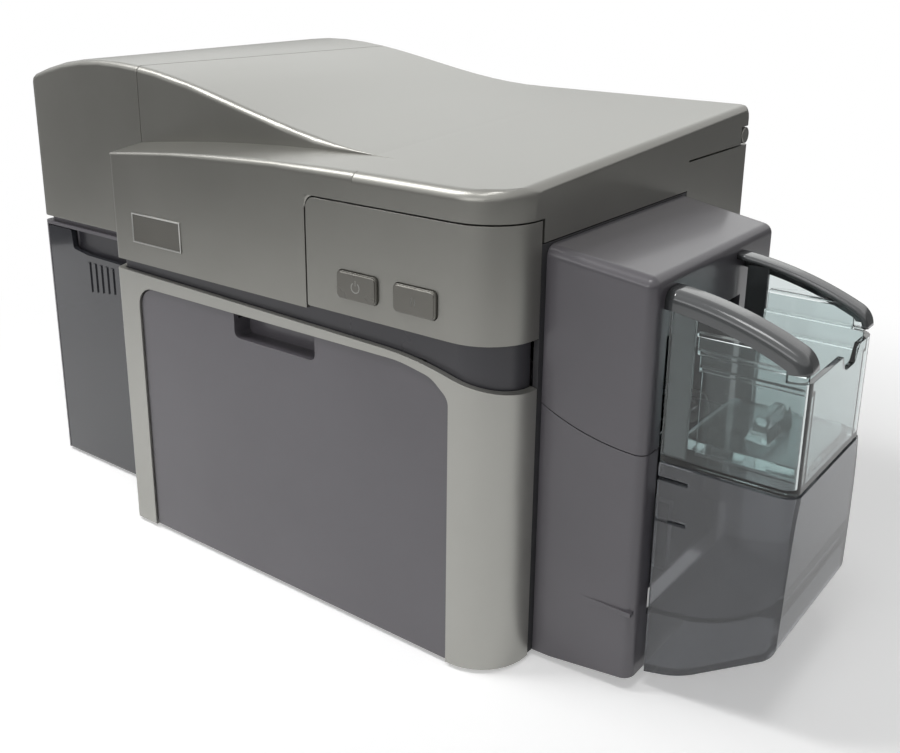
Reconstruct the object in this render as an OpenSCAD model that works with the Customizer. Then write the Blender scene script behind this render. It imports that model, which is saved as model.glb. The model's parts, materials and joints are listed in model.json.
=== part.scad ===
// Desktop printer for plastic identity cards.
// A swept top cover lifts on a rear hinge over the print engine, a dark service door drops
// open at the front, and a clear card hopper stands over a smoked output bin at the right end.
// Working frame: X from the left end, Y from the front face, Z from the table. home() moves it
// so that the origin is the middle of the footprint.

/* [Body] */
// Width of the body from its left end to its right end face
body_w = 353; // [346:1:362]
// Depth of the body from the front face to the back face
body_d = 234; // [230:1:242]
// Wall of the moulded covers
wall = 2.5; // [2:0.1:3]
// Width of the fixed cover at the left end
end_cover_w = 98; // [96:1:100]
// How far the front block stands out before the left end cover
front_step = 30; // [29:0.5:32]
// Where the front block's left edge meets its front face
front_left_x = 111; // [109:0.5:113]
// Radius of the front block's right corner in plan
corner_r = 25; // [20:1:28]
// Radius of the other upright corners
edge_r = 4; // [3:0.5:5]
// Gap between two covers at a seam
seam = 0.8; // [0.6:0.1:1]
// Thickness of the rubber feet below the floor pan
foot_h = 3; // [2.5:0.5:4]
// Thickness of the floor pan
pan_t = 3; // [2.5:0.5:4]
// Height of the rim around the floor pan
pan_rim = 12; // [9:1:16]

/* [Top surface] */
// Height of the ridge at the back, the highest point of the printer
ridge_h = 249; // [246:1:252]
// Distance of the ridge from the left end, at the front of the hump
ridge_x = 70; // [66:1:74]
// Distance of the ridge from the left end, at the back
ridge_back_x = 57; // [54:1:62]
// Radius of the hump on the left of its ridge
ridge_left_r = 185; // [170:5:200]
// How far the front end of the ridge lies below its back end
ridge_fall = 1; // [0:0.5:3]
// Height of the flat deck at the front face
deck_h = 216.6; // [215:0.2:218]
// Slope of the deck, in millimetres of rise for each millimetre towards the back
deck_slope = 0.0545; // [0.04:0.0005:0.06]
// Where the hump runs out into the deck, at the front
sweep_x = 275; // [268:1:282]
// Where the hump runs out into the deck, at the back
sweep_back_x = 222; // [216:1:230]
// How far the left end of the front ledge lies below the deck
ledge_fall = 10; // [8:0.5:12]
// Radius on the top edges of the covers
top_r = 4.5; // [3:0.5:5]

/* [Front] */
// Height of the top cover's lower edge at the front
brow_low = 152; // [150:0.5:154]
// Height of the seam over the control panel
panel_top = 203; // [201:0.5:205]
// Where the control panel's left seam lies
panel_x = 247.5; // [245:0.5:250]
// Height of the front frame's top edge at its left end
frame_top = 146.5; // [145:0.5:148]
// How far the front frame's top edge falls towards the right end
frame_fall = 15.5; // [13:0.5:17]
// Height of the front frame's lower edge
skirt_z = 2; // [1.5:0.5:2.5]
// Left edge of the service door
door_x = 127; // [125:0.5:129]
// Width of the service door
door_w = 199; // [196:0.5:200]
// Height of the service door's top edge
door_top = 138.6; // [137:0.2:139]
// Thickness of the door panels
door_t = 3; // [2.5:0.1:3.4]
// How far the service door's face lies behind the frame's face
door_inset = 1.2; // [0.8:0.1:1.4]
// Gap around the doors
door_gap = 0.6; // [0.5:0.1:0.8]
// Width of the finger recess in the service door's top edge
recess_w = 53; // [45:1:60]
// Height of the finger recess
recess_h = 12; // [9:0.5:14]
// Depth of the pocket behind the finger recess
recess_d = 10; // [8:0.5:12]

/* [Buttons] */
// Width of a button
button_w = 22.4; // [20:0.2:24]
// Height of a button
button_h = 12.4; // [11:0.2:14]
// How far a button stands out of the control panel
button_proud = 1.8; // [1.5:0.1:2.2]
// How far a button travels
button_travel = 1.2; // [0.8:0.1:1.2]
// Middle of the power button, from the left end
power_x = 278; // [276:0.5:280]
// Middle of the pause button, from the left end
pause_x = 309.5; // [308:0.5:312]
// Height of the buttons' middle
button_z = 167.5; // [166:0.5:170]
// Gap around a button in its hole
button_gap = 0.25; // [0.2:0.05:0.35]

/* [Card path] */
// Width of a card
card_w = 54; // [53.9:0.1:54.1]
// Length of a card
card_l = 85.6; // [85.4:0.1:85.8]
// Thickness of a card
card_t = 0.76; // [0.7:0.02:0.84]
// Height of the card's underside in the path
card_z = 112; // [111:0.5:113]
// Distance of the card's centre line from the front face
card_y = 81.3; // [81:0.1:82]
// Clear width between the engine's side plates
engine_w = 82.6; // [82:0.1:83]
// Thickness of the engine's steel side plates
plate_t = 1.5; // [1.2:0.1:2]
// Radius of the driven rollers
roller_r = 8; // [7.5:0.1:8.5]
// Radius of the pinch and cleaning rollers
pinch_r = 5.5; // [5:0.1:6]
// Radius of the roller shafts
shaft_r = 3; // [2.5:0.1:3.5]
// Distance of the platen roller from the left end
platen_x = 225; // [224:0.5:226]
// Radial running clearance of a shaft in its bush
run_fit = 0.05; // [0.03:0.01:0.08]
// Radial wall of a shaft bush
bush_wall = 1.6; // [1.4:0.1:2]

/* [Gears] */
// Gear module
gear_m = 1.5; // [1.5:0.1:1.5]
// Teeth of the gears on the three driven rollers
roller_teeth = 16; // [16:1:16]
// Teeth of the large idler gear
idler_teeth = 44; // [44:1:44]
// Teeth of the small idler gear
small_idler_teeth = 28; // [28:1:28]
// Teeth of the motor pinion
pinion_teeth = 10; // [10:1:10]
// Face width of the gears
gear_t = 6; // [5:0.5:6]
// Share of the tooth pitch that a tooth fills at the pitch circle
tooth_share = 0.46; // [0.42:0.01:0.48]

/* [Ribbon cartridge] */
// Distance of each ribbon spool from the platen roller
spool_dx = 37; // [36:0.5:38]
// Height of the ribbon spools
spool_z = 150; // [148:0.5:152]
// Radius of a spool core
core_r = 6; // [5.5:0.1:6.5]
// Radius of the new ribbon on the supply spool
supply_r = 15; // [12:0.5:16]
// Radius of the used ribbon on the take-up spool
takeup_r = 8.5; // [8:0.5:12]
// Width of the ribbon
ribbon_w = 60; // [58:0.5:62]
// Thickness of the cartridge's end plates
cartridge_t = 3; // [2.5:0.1:3.2]

/* [Hopper housing] */
// Width of the dark housing at the right end
housing_w = 48; // [46:1:52]
// Depth of the housing
housing_d = 129; // [127:1:130]
// Height of the housing where it meets the body
housing_h = 192.3; // [190:0.5:194]
// How far the housing's top falls towards its outer end
housing_fall = 6; // [4:0.5:8]
// Radius of the housing's top edges
housing_r = 5; // [4:0.5:6]
// Radius of the curved parting line between the housing's two covers
parting_r = 100; // [90:5:120]
// Lowest height of that parting line
parting_z = 112; // [110:0.5:114]

/* [Hopper and bin] */
// How far the hopper and the bin stand out from the housing
bin_out = 59; // [56:1:62]
// Depth of the hopper and the bin, front to back
bin_d = 81; // [80:0.5:82]
// Wall of the clear and smoked mouldings
bin_wall = 2.4; // [2:0.1:2.6]
// Dark gap between the housing and the hopper
bin_gap = 2.5; // [2:0.1:3]
// Upright corner radius of the hopper and the bin
bin_r = 7; // [6:0.5:8]
// Height of the seam between the hopper and the bin
bin_seam = 107.8; // [107:0.2:108.4]
// Height of the stepped guides' upper step in the hopper
guide_high = 165; // [164:0.5:166]
// Height of the hopper rails where they meet the housing
rail_h = 180.5; // [178:0.5:182]
// Radius of the rails' arched top
rail_arc_r = 155; // [150:5:165]
// Width of a hopper rail
rail_w = 12; // [11:0.5:13]
// Height of the rails' lower edge beside the housing
rail_low = 155; // [153:0.5:157]
// Height of the hopper's end wall
end_wall_h = 154; // [152:0.5:156]
// Width of the notch in the end wall
notch_w = 22; // [18:1:24]
// Depth of the notch in the end wall
notch_h = 7; // [5:0.5:8]
// How far the notch lies behind the middle of the end wall
notch_back = 11; // [8:0.5:12]
// Height of the bin's lower edge beside the housing
bin_low = 11; // [9:0.5:13]
// How far the bin's lower edge rises towards its outer end
bin_rise = 19; // [17:0.5:22]
// How far the bin's end wall leans in at the bottom
bin_lean = 6; // [4:0.5:7]
// Height of the bin's inner floor beside the housing
bin_floor = 41; // [39:0.5:43]
// Height of the card weight's plate
weight_h = 5; // [4:0.5:6]

/* [Hinges] */
// Distance of the lid hinge's axis from the back face
hinge_back = 5; // [5:0.1:5.5]
// Height of the lid hinge's axis
hinge_z = 213; // [212.6:0.1:213.4]
// Radius of the lid hinge's knuckles
knuckle_r = 4.6; // [4.4:0.1:4.7]
// Radius of the lid hinge's pins
pin_r = 2; // [1.8:0.1:2.2]
// Width of a fixed hinge knuckle
knuckle_w = 14; // [12:1:18]
// Radius of the door pins
door_pin_r = 1.2; // [1.1:0.1:1.3]
// Distance of the door pivots behind the face they close
door_pivot_y = 3.4; // [3.4:0.1:3.6]
// Height of the door pivots
door_pivot_z = 5.4; // [5.2:0.1:5.8]

/* [Hidden] */
$fn = 48;
slice_t = 0.1;
total_w = body_w + housing_w + bin_out;
housing_x = body_w + housing_w;
bin_x = housing_x + bin_gap;
pan_z = foot_h + pan_t;
rear_y = body_d - wall;

// ---- helpers -------------------------------------------------------------------------
// From the working frame to the frame with its origin in the middle of the footprint, which
// the buttons stand out of the front of
module home() {
    translate([-total_w / 2, -(body_d - button_proud) / 2, 0]) children();
}
// A box given by its low and high corner
module box(low, high) {
    translate(low) cube([high[0] - low[0], high[1] - low[1], high[2] - low[2]]);
}
// A cylinder along X or Y from one coordinate to another
module rod_x(x0, x1, y, z, r) {
    translate([x0, y, z]) rotate([0, 90, 0]) cylinder(r = r, h = x1 - x0);
}
module rod_y(y0, y1, x, z, r) {
    translate([x, y1, z]) rotate([90, 0, 0]) cylinder(r = r, h = y1 - y0);
}
// An X-Z outline drawn out along Y, a Y-Z outline along X, and an X-Y outline along Z
module along_y(y0, y1) {
    translate([0, y1, 0]) rotate([90, 0, 0]) linear_extrude(y1 - y0) children();
}
module along_x(x0, x1) {
    translate([x0, 0, 0]) rotate([90, 0, 90]) linear_extrude(x1 - x0) children();
}
module along_z(z0, z1) {
    translate([0, 0, z0]) linear_extrude(z1 - z0) children();
}
// The same thing on both sides of the card's centre line, with Y measured from that line
module both_sides() {
    for (m = [0, 1]) translate([0, card_y, 0]) mirror([0, m, 0]) children();
}
// Corner number i of an outline of [x, y, radius] points, turned into an arc
function unit(v) = v / norm(v);
function arc_points(p, q, s, r, steps) =
    let (a = unit([p[0] - q[0], p[1] - q[1]]), b = unit([s[0] - q[0], s[1] - q[1]]),
        half = acos(max(-1, min(1, a * b))) / 2, along = r / tan(half),
        mid = unit(a + b) * (r / sin(half)), c = [q[0], q[1]] + mid,
        t0 = [q[0], q[1]] + a * along - c, t1 = [q[0], q[1]] + b * along - c,
        start = atan2(t0[1], t0[0]), turn = atan2(t1[1], t1[0]) - start,
        sweep = turn > 180 ? turn - 360 : turn < -180 ? turn + 360 : turn)
    [for (k = [0:steps]) c + r * [cos(start + sweep * k / steps), sin(start + sweep * k / steps)]];
function rounded(pts, steps = 6) = let (n = len(pts)) [for (i = [0:n - 1])
    each (pts[i][2] <= 0 ? [[pts[i][0], pts[i][1]]] :
        arc_points(pts[(i + n - 1) % n], pts[i], pts[(i + 1) % n], pts[i][2], steps))];
// A rectangle with round corners, by its low and high corner
module rounded_rect(low, high, r) {
    polygon(rounded([[low[0], low[1], r], [high[0], low[1], r], [high[0], high[1], r],
        [low[0], high[1], r]], 5));
}

// ---- the swept top surface -----------------------------------------------------------
function deck_z(y) = deck_h + deck_slope * y;
// Half a cosine wave from the ridge down to the deck, and an arc on the ridge's left
function crest(x, x0, x1, high, low) = x <= x0 ? high - pow(x0 - x, 2) / (2 * ridge_left_r) :
    x >= x1 ? low : low + (high - low) * (1 + cos(180 * (x - x0) / (x1 - x0))) / 2;
function top_front(x) = crest(x, ridge_x, sweep_x, ridge_h - ridge_fall, deck_z(front_step));
function top_back(x) = crest(x, ridge_back_x, sweep_back_x, ridge_h, deck_z(body_d));
function top_z(x, y) = top_front(x)
    + (top_back(x) - top_front(x)) * (y - front_step) / (body_d - front_step);
// The ledge over the front block, lower than the deck at its left end
ledge_k = ledge_fall / pow(sweep_x - front_left_x, 2);
function ledge_z(x, y) = deck_z(y) - (x < sweep_x ? ledge_k * pow(sweep_x - x, 2) : 0);
// Distance from the front at which a round plan corner lies at x
function corner_y(x, r) = x <= body_w - r ? 0 :
    r - sqrt(max(0, r * r - pow(x - body_w + r, 2)));
// How far the round top edge lies below the surface at x, near the right or left end
function end_drop(x, r) = x > body_w - r ? r - sqrt(max(0, r * r - pow(x - body_w + r, 2))) :
    x < r ? r - sqrt(max(0, r * r - pow(r - x, 2))) : 0;
// A thin Y-Z slice at x with round top edges
module slice(x, y0, y1, z0, z_front, z_back, r0, r1) {
    rise = (z_back - z_front) / (y1 - y0);
    arc0 = [for (a = [0:30:90]) [y0 + r0 * (1 - cos(a)),
        z_front - r0 * (1 - sin(a)) + rise * r0 * (1 - cos(a))]];
    arc1 = [for (a = [90:-30:0]) [y1 - r1 * (1 - cos(a)),
        z_back - r1 * (1 - sin(a)) - rise * r1 * (1 - cos(a))]];
    translate([x, 0, 0]) rotate([90, 0, 90]) linear_extrude(slice_t)
        polygon(concat([[y0, z0]], arc0, arc1, [[y1, z0]]));
}
// Stations along X: even steps between two places, and close ones round an end's top edge
function steps(a, b, n) = [for (k = [0:n]) a + (b - a) * k / n];
function right_end(r) = [for (a = [0:22.5:90]) body_w - r + r * sin(a) - slice_t];
function left_end(r) = [for (a = [90:-22.5:0]) r - r * sin(a)];
// The block behind the front step, from the hump to the right end; i is the inset of the inside
module hump_slice(x, i, z0) {
    lip = max(0.2, min(top_r - 1, (top_front(x) - ledge_z(x, front_step)) * 0.7));
    r = max(0.2, lip - i);
    slice(x, front_step + i, body_d - i - corner_y(x + i, edge_r), z0,
        top_front(x) - i, top_back(x) - i, r, max(0.5, top_r - i));
}
// The front block under the ledge, from its slanted left face round its right corner
function front_y(x, i) = i + (x < front_left_x + i ? (front_left_x + i - x)
    * front_step / (front_left_x - end_cover_w) : corner_y(x + i, corner_r) * (1 - i / corner_r));
module brow_slice(x, i, y1, z0) {
    y0 = front_y(x, i);
    drop = end_drop(x + i, top_r);
    r = max(0.3, min(top_r, 1.5 + (x - front_left_x) * 0.015, y1 - y0 - 0.5) - i / 2);
    slice(x, y0, y1, z0, ledge_z(x, y0) - i - drop, ledge_z(x, y1) - i - drop, r, 0.2);
}
// The deck from front to back at the right of the sweep
module deck_slice(x, i, z0) {
    y0 = front_y(x, i);
    y1 = body_d - i - corner_y(x + i, edge_r);
    drop = end_drop(x + i, top_r);
    slice(x, y0, y1, z0, deck_z(y0) - i - drop, deck_z(y1) - i - drop,
        max(0.5, top_r - i / 2), max(0.5, top_r - i));
}
module lid_form(i, z0) {
    hump_x = steps(end_cover_w + seam + i, sweep_x, 14);
    for (k = [0:len(hump_x) - 2]) hull() {
        hump_slice(hump_x[k], i, z0);
        hump_slice(hump_x[k + 1], i, z0);
    }
    brow_x = concat([end_cover_w + seam + i * 1.6, front_left_x - 1 + i],
        steps(front_left_x + i, sweep_x, 7));
    for (k = [0:len(brow_x) - 2]) hull() {
        brow_slice(brow_x[k], i, front_step + wall + i, z0);
        brow_slice(brow_x[k + 1], i, front_step + wall + i, z0);
    }
    deck_x = concat([sweep_x, body_w - corner_r], steps(body_w - corner_r + 6, body_w - top_r - 3, 2),
        [for (x = right_end(top_r)) x - i]);
    for (k = [0:len(deck_x) - 2]) hull() {
        deck_slice(deck_x[k], i, z0);
        deck_slice(deck_x[k + 1], i, z0);
    }
}

// ---- top cover -----------------------------------------------------------------------
lid_right_low = housing_h + 1.4;
liner_z = 197;
liner_t = 2.5;
module top_cover() {
    color("gray") home() difference() {
        lid_form(0, brow_low - 2);
        lid_form(wall, brow_low - 5);
        // The lower edge of the brow
        box([end_cover_w - 5, -1, brow_low - 6], [body_w + 1, front_step + 9, brow_low]);
        // The hump's front wall ends over the brow, and the left side wall over the liner
        box([end_cover_w - 1, front_step + 1, brow_low - 6],
            [panel_x + seam, body_d + 1, liner_z]);
        // Room for the control panel and for the wall behind it
        box([panel_x - seam / 2, -1, brow_low - 6],
            [body_w + 1, front_back + 2 * seam, panel_top + seam]);
        box([panel_x, corner_r, brow_low - 6], [body_w + 1, body_d + 1, lid_right_low]);
        // The rear cover's seam, and the slot that the hinge knuckles turn in
        box([end_cover_w - 1, front_step + housing_d + 0.6, brow_low - 6],
            [body_w + 1, body_d + 1, hinge_z - knuckle_r + 0.4]);
        box([end_cover_w - 1, body_d - hinge_back - knuckle_r - 1.5, brow_low - 6],
            [body_w + 1, body_d + 1, hinge_z + knuckle_r + 0.4]);
    }
}
leaf_t = 1.6;
leaf_z = hinge_z + knuckle_r - leaf_t;
leaf_x = end_cover_w + seam + wall + 1;
// Dark inner panel of the top cover, on posts that reach the cover's inside
post_spots = [for (u = [0.07, 0.36, 0.64, 0.93]) for (v = [0.15, 0.73])
    [leaf_x + u * (body_w - leaf_x), front_step + v * (body_d - front_step)]];
post_r = 4;
// Height at which a post of radius r meets the inside of the sloping cover
function post_top(x, y, r) = min(top_z(x - r, y - r), top_z(x + r, y - r)) - wall - 0.1;
module lid_liner() {
    x0 = end_cover_w + seam + wall + 0.2;
    x1 = body_w - wall - 0.3;
    color("dimgray") home() difference() {
        union() {
            along_z(liner_z, liner_z + liner_t)
                rounded_rect([x0, front_step + wall + 2], [x1, body_d - 30], 4);
            for (p = post_spots)
                translate([p[0], p[1], liner_z + 1])
                    cylinder(r = post_r, h = post_top(p[0], p[1], post_r) - liner_z - 1);
            for (y = [50, 118, 170])
                box([x0 + 6, y, liner_z - 5], [x1 - 6, y + 1.5, liner_z + 0.5]);
        }
        for (p = post_spots)
            translate([p[0], p[1], liner_z - 1]) cylinder(r = 1.5, h = 12);
    }
}
// The leaf and the moving knuckles of the lid's hinge: three tubes between the fixed knuckles
hinge_y = body_d - hinge_back;
bracket_x = [end_cover_w + 24, body_w - 24 - knuckle_w];
knuckle_gap = 0.4;
function moving_knuckles() = [[end_cover_w + seam + 1.5, bracket_x[0] - knuckle_gap],
    [bracket_x[0] + knuckle_w + knuckle_gap, bracket_x[1] - knuckle_gap],
    [bracket_x[1] + knuckle_w + knuckle_gap, body_w - wall - 1]];
module hinge_leaf() {
    color("darkgray") home() difference() {
        union() {
            for (k = moving_knuckles()) {
                rod_x(k[0], k[1], hinge_y, hinge_z, knuckle_r);
                box([max(k[0], leaf_x), hinge_y - 20, leaf_z], [k[1], hinge_y, leaf_z + leaf_t]);
            }
            box([leaf_x, hinge_y - 28, leaf_z],
                [body_w - wall - 1, hinge_y - 8, leaf_z + leaf_t]);
            // Posts up to the inside of the cover
            for (x = [for (u = [0.11, 0.38, 0.64, 0.91]) leaf_x + u * (body_w - leaf_x)])
                translate([x, hinge_y - 18, leaf_z + 1])
                    cylinder(r = 3.5, h = post_top(x, hinge_y - 18, 3.5) - leaf_z - 1);
        }
        rod_x(end_cover_w, body_w, hinge_y, hinge_z, pin_r + run_fit);
    }
}
module hinge_brackets() {
    color("silver") home() for (x = bracket_x) difference() {
        union() {
            rod_x(x, x + knuckle_w, hinge_y, hinge_z, knuckle_r);
            box([x, hinge_y - 3, hinge_z - bracket_h], [x + knuckle_w, rear_y - 0.1, hinge_z]);
        }
        rod_x(x - 1, x + knuckle_w + 1, hinge_y, hinge_z, pin_r + 0.02);
        for (p = bracket_screws()) rod_y(hinge_y - 4, rear_y + 1, p[0], p[1], screw_r + 0.05);
    }
}
bracket_h = 32;
function bracket_screws() = [for (x = bracket_x) for (drop = [0.375, 0.75])
    [x + knuckle_w / 2, hinge_z - drop * bracket_h]];
screw_head_r = 3;
head_sink = 1.3;
pin_reach = 14;
module hinge_pins() {
    color("lightgray") home() for (x = bracket_x)
        rod_x(x - pin_reach, x + knuckle_w + pin_reach, hinge_y, hinge_z, pin_r);
}

// ---- printhead on the lid ------------------------------------------------------------
head_w = 20;
head_len = card_w + 4;
head_z = card_z + 0.3;
module printhead_bracket() {
    color("silver") home() {
        box([platen_x - head_w / 2 + 1, card_y - 22, head_z + 10],
            [platen_x + head_w / 2 - 1, card_y + 22, head_z + 12]);
        both_sides() {
            box([platen_x - head_w / 2 + 1, 20, head_z + 11],
                [platen_x + head_w / 2 - 1, 22, liner_z - 1.5]);
            box([platen_x - head_w / 2 - 4, 10, liner_z - 2],
                [platen_x + head_w / 2 + 4, 22, liner_z - 0.1]);
        }
    }
}
// Ceramic strip under a finned aluminium heat sink
module printhead() {
    color("lightgray") home() along_y(card_y - head_len / 2, card_y + head_len / 2) union() {
        polygon([[platen_x - head_w / 2, head_z + 2], [platen_x - 3, head_z], [platen_x + 3, head_z],
            [platen_x + head_w / 2, head_z + 2], [platen_x + head_w / 2, head_z + 5],
            [platen_x - head_w / 2, head_z + 5]]);
        for (k = [0:6]) translate([platen_x - head_w / 2 + k * (head_w - 1.4) / 6, head_z + 4])
            square([1.4, 5.9]);
    }
}

// ---- left end ------------------------------------------------------------------------
cover_split = 153;
module cover_slice(x, i, z0) {
    drop = end_drop(x - i, top_r);
    side = x - i < edge_r ? edge_r - sqrt(max(0, pow(edge_r, 2) - pow(edge_r - x + i, 2))) : 0;
    slice(x, front_step + i + side, body_d - i - side, z0, top_front(x) - i - drop,
        top_back(x) - i - drop, max(0.5, top_r - 1 - i / 2), max(0.5, top_r - i / 2));
}
module cover_form(i, z0, x_end) {
    xs = concat([for (x = left_end(top_r)) x + i], steps(16 + i, x_end, 5));
    for (k = [0:len(xs) - 2]) hull() {
        cover_slice(xs[k], i, z0);
        cover_slice(xs[k + 1], i, z0);
    }
}
module end_cover_upper() {
    color("gray") home() difference() {
        cover_form(0, cover_split, end_cover_w);
        cover_form(wall, cover_split - 3, end_cover_w - wall - 1);
    }
}
// Plan outline of the left end, with round left corners
module end_plan(i, x_end, r) {
    polygon(rounded([[i, front_step + i, r], [x_end, front_step + i, 0],
        [x_end, body_d - i, 0], [i, body_d - i, r]]));
}
left_door_x = 4.6;
left_door_w = 90.5;
left_door_top = 147.5;
lip_h = 6;
module end_cover_lower() {
    top = cover_split - 3;
    color("gray") home() difference() {
        union() {
            along_z(skirt_z, top) end_plan(0, end_cover_w, edge_r);
            // A lip inside the upper cover keeps the two in line
            along_z(top - 2, top + lip_h)
                end_plan(wall + 0.15, end_cover_w - wall - 1.2, edge_r + 0.5);
        }
        along_z(-1, top - 4) end_plan(wall, end_cover_w - wall, edge_r - 1);
        along_z(top - 5, top + lip_h + 1)
            end_plan(2 * wall, end_cover_w - 2 * wall, edge_r - 1);
        // Opening for the door, and the way of a card out of the engine
        box([left_door_x - door_gap, front_step - 1, -1],
            [left_door_x + left_door_w + door_gap, front_step + wall + 3.3, left_door_top + door_gap]);
        box([end_cover_w - wall - 2, card_y - card_w / 2 - 2, card_z - 6],
            [end_cover_w + 1, card_y + card_w / 2 + 2, card_z + 8]);
        // Room for the floor pan
        box([wall, front_step + wall, -1], [end_cover_w + 1, body_d - wall, foot_h + pan_rim + 0.2]);
        // Holes for the door's pins
        rod_x(left_door_x - door_gap - 3, left_door_x + left_door_w + 3.2,
            front_step + door_pivot_y, door_pivot_z, door_pin_r + 0.02);
    }
}
// Glossy smoked door of the left compartment, with a stepped top edge and grip ribs
module left_door() {
    y0 = front_step;
    z0 = skirt_z + 0.4;
    step_z = left_door_top - 11;
    right = left_door_x + left_door_w;
    color("dimgray") home() difference() {
        union() {
            along_y(y0, y0 + door_t) polygon(rounded([[left_door_x, z0, 1], [right, z0, 1],
                [right, step_z - 3, 2], [left_door_x + 36, step_z - 2, 12],
                [left_door_x + 23, step_z, 2], [left_door_x + 22, left_door_top, 1.5],
                [left_door_x, left_door_top, 2]]));
            for (k = [0:4])
                box([left_door_x + 36 + k * 5.4, y0 - 0.7, step_z - 24 + k * 0.6],
                    [left_door_x + 38 + k * 5.4, y0 + 0.5, step_z - 6]);
            for (x = [left_door_x + 5, right - 7])
                box([x, y0 + door_t - 0.5, 14], [x + 2, y0 + door_t + 3, step_z - 8]);
            rod_x(left_door_x + 0.4, left_door_x + 12, y0 + door_pivot_y, door_pivot_z, 2.2);
            rod_x(right - 12, right - 0.4, y0 + door_pivot_y, door_pivot_z, 2.2);
        }
        rod_x(left_door_x - 1, right + 1, y0 + door_pivot_y, door_pivot_z, door_pin_r + run_fit);
        box([left_door_x + 12.2, y0 + door_t, 1], [right - 12.2, y0 + 8, 9]);
    }
}
module left_door_pins() {
    right = left_door_x + left_door_w;
    color("silver") home() {
        rod_x(left_door_x - door_gap - 1.6, left_door_x + 8, front_step + door_pivot_y,
            door_pivot_z, door_pin_r);
        rod_x(right - 8, right + door_gap + 1.8, front_step + door_pivot_y, door_pivot_z, door_pin_r);
    }
}

// ---- front block ---------------------------------------------------------------------
// Plan outline of the front block, with a slanted left face and a large right corner
module front_plan(i, y1) {
    lean = (front_left_x - end_cover_w - seam) / front_step;
    polygon(rounded([[front_left_x + i - lean * y1, y1, 0], [front_left_x + i - lean * i, i, 1.5],
        [body_w - i, i, corner_r - i], [body_w - i, y1, 0]], 10));
}
front_back = corner_r + 1.5;
// Wall of the front frame and the control panel
skin_t = wall + 0.5;
// A wall that follows the front block's outline
module front_skin(i, t, z0, z1) {
    difference() {
        along_z(z0, z1) front_plan(i, front_back);
        along_z(z0 - 1, z1 + 1) front_plan(i + t, front_back + 1);
    }
}
// Outline of the service door: a small round left corner and a long round right one
module door_outline(g) {
    x0 = door_x - g;
    x1 = door_x + door_w + g;
    polygon(rounded([[x0, skirt_z - g + 0.4, 1], [x1, skirt_z - g + 0.4, 1],
        [x1, door_top - 11 + g, 6 + g], [x1 - 9, door_top - 3.4 + g, 14],
        [x1 - 26, door_top + g, 60], [x0, door_top + g, 10 + g]], 6));
}
module front_frame() {
    t = skin_t;
    color("silver") home() difference() {
        union() {
            intersection() {
                front_skin(0, t, skirt_z, frame_top + 1);
                along_y(-1, front_back + 1) polygon(rounded([[end_cover_w, skirt_z, 0],
                    [body_w + 1, skirt_z, 0], [body_w + 1, frame_top - frame_fall, 0],
                    [body_w - 45, frame_top - 4, 160], [end_cover_w, frame_top + 0.4, 0]], 10));
            }
            // Bosses for the door's pins
            for (x = [door_x - door_gap - 7, door_x + door_w + door_gap])
                box([x, t - 0.5, skirt_z], [x + 7, t + 4.5, skirt_z + 9]);
        }
        along_y(-1, 9) door_outline(door_gap);
        rod_x(door_x - door_gap - 6, door_x + door_w + door_gap + 6, door_pivot_y,
            door_pivot_z, door_pin_r + 0.02);
    }
}
// Outline of the stiffening rim on the inside of the door
module rim_outline(i) {
    intersection() {
        door_outline(-4 - i);
        translate([door_x, 14 + i]) square([door_w, door_top - 24 - 2 * i]);
    }
}
door_ear = 12;
module front_door() {
    x1 = door_x + door_w;
    recess_x = door_x + 70;
    floor_z = door_top - recess_h;
    y1 = door_inset + door_t;
    color("dimgray") home() difference() {
        union() {
            along_y(door_inset, y1) door_outline(0);
            // Stiffening rim and ribs on the inside
            along_y(y1 - 0.5, y1 + 4) difference() {
                rim_outline(0);
                rim_outline(2);
            }
            for (x = [door_x + 50, door_x + 100, door_x + 150])
                box([x, y1 - 0.5, 15], [x + 1.6, y1 + 4, door_top - 26]);
            // Pocket behind the finger recess
            box([recess_x - 1.6, y1 - 0.5, floor_z - 1.6],
                [recess_x + recess_w + 1.6, door_inset + recess_d + 1.6, door_top - 3]);
            // Knuckles on the hinge line
            for (x = [door_x + 0.4, x1 - door_ear])
                rod_x(x, x + door_ear - 0.4, door_pivot_y, door_pivot_z, 2.2);
        }
        // The finger recess itself, open at the top
        along_y(door_inset - 1, door_inset + recess_d) rounded_rect([recess_x, floor_z],
            [recess_x + recess_w, door_top + 9], 3);
        rod_x(door_x - 1, x1 + 1, door_pivot_y, door_pivot_z, door_pin_r + run_fit);
    }
}
module front_door_pins() {
    color("silver") home() {
        rod_x(door_x - door_gap - 5, door_x + 9, door_pivot_y, door_pivot_z, door_pin_r);
        rod_x(door_x + door_w - 9, door_x + door_w + door_gap + 5, door_pivot_y, door_pivot_z,
            door_pin_r);
    }
}
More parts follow.
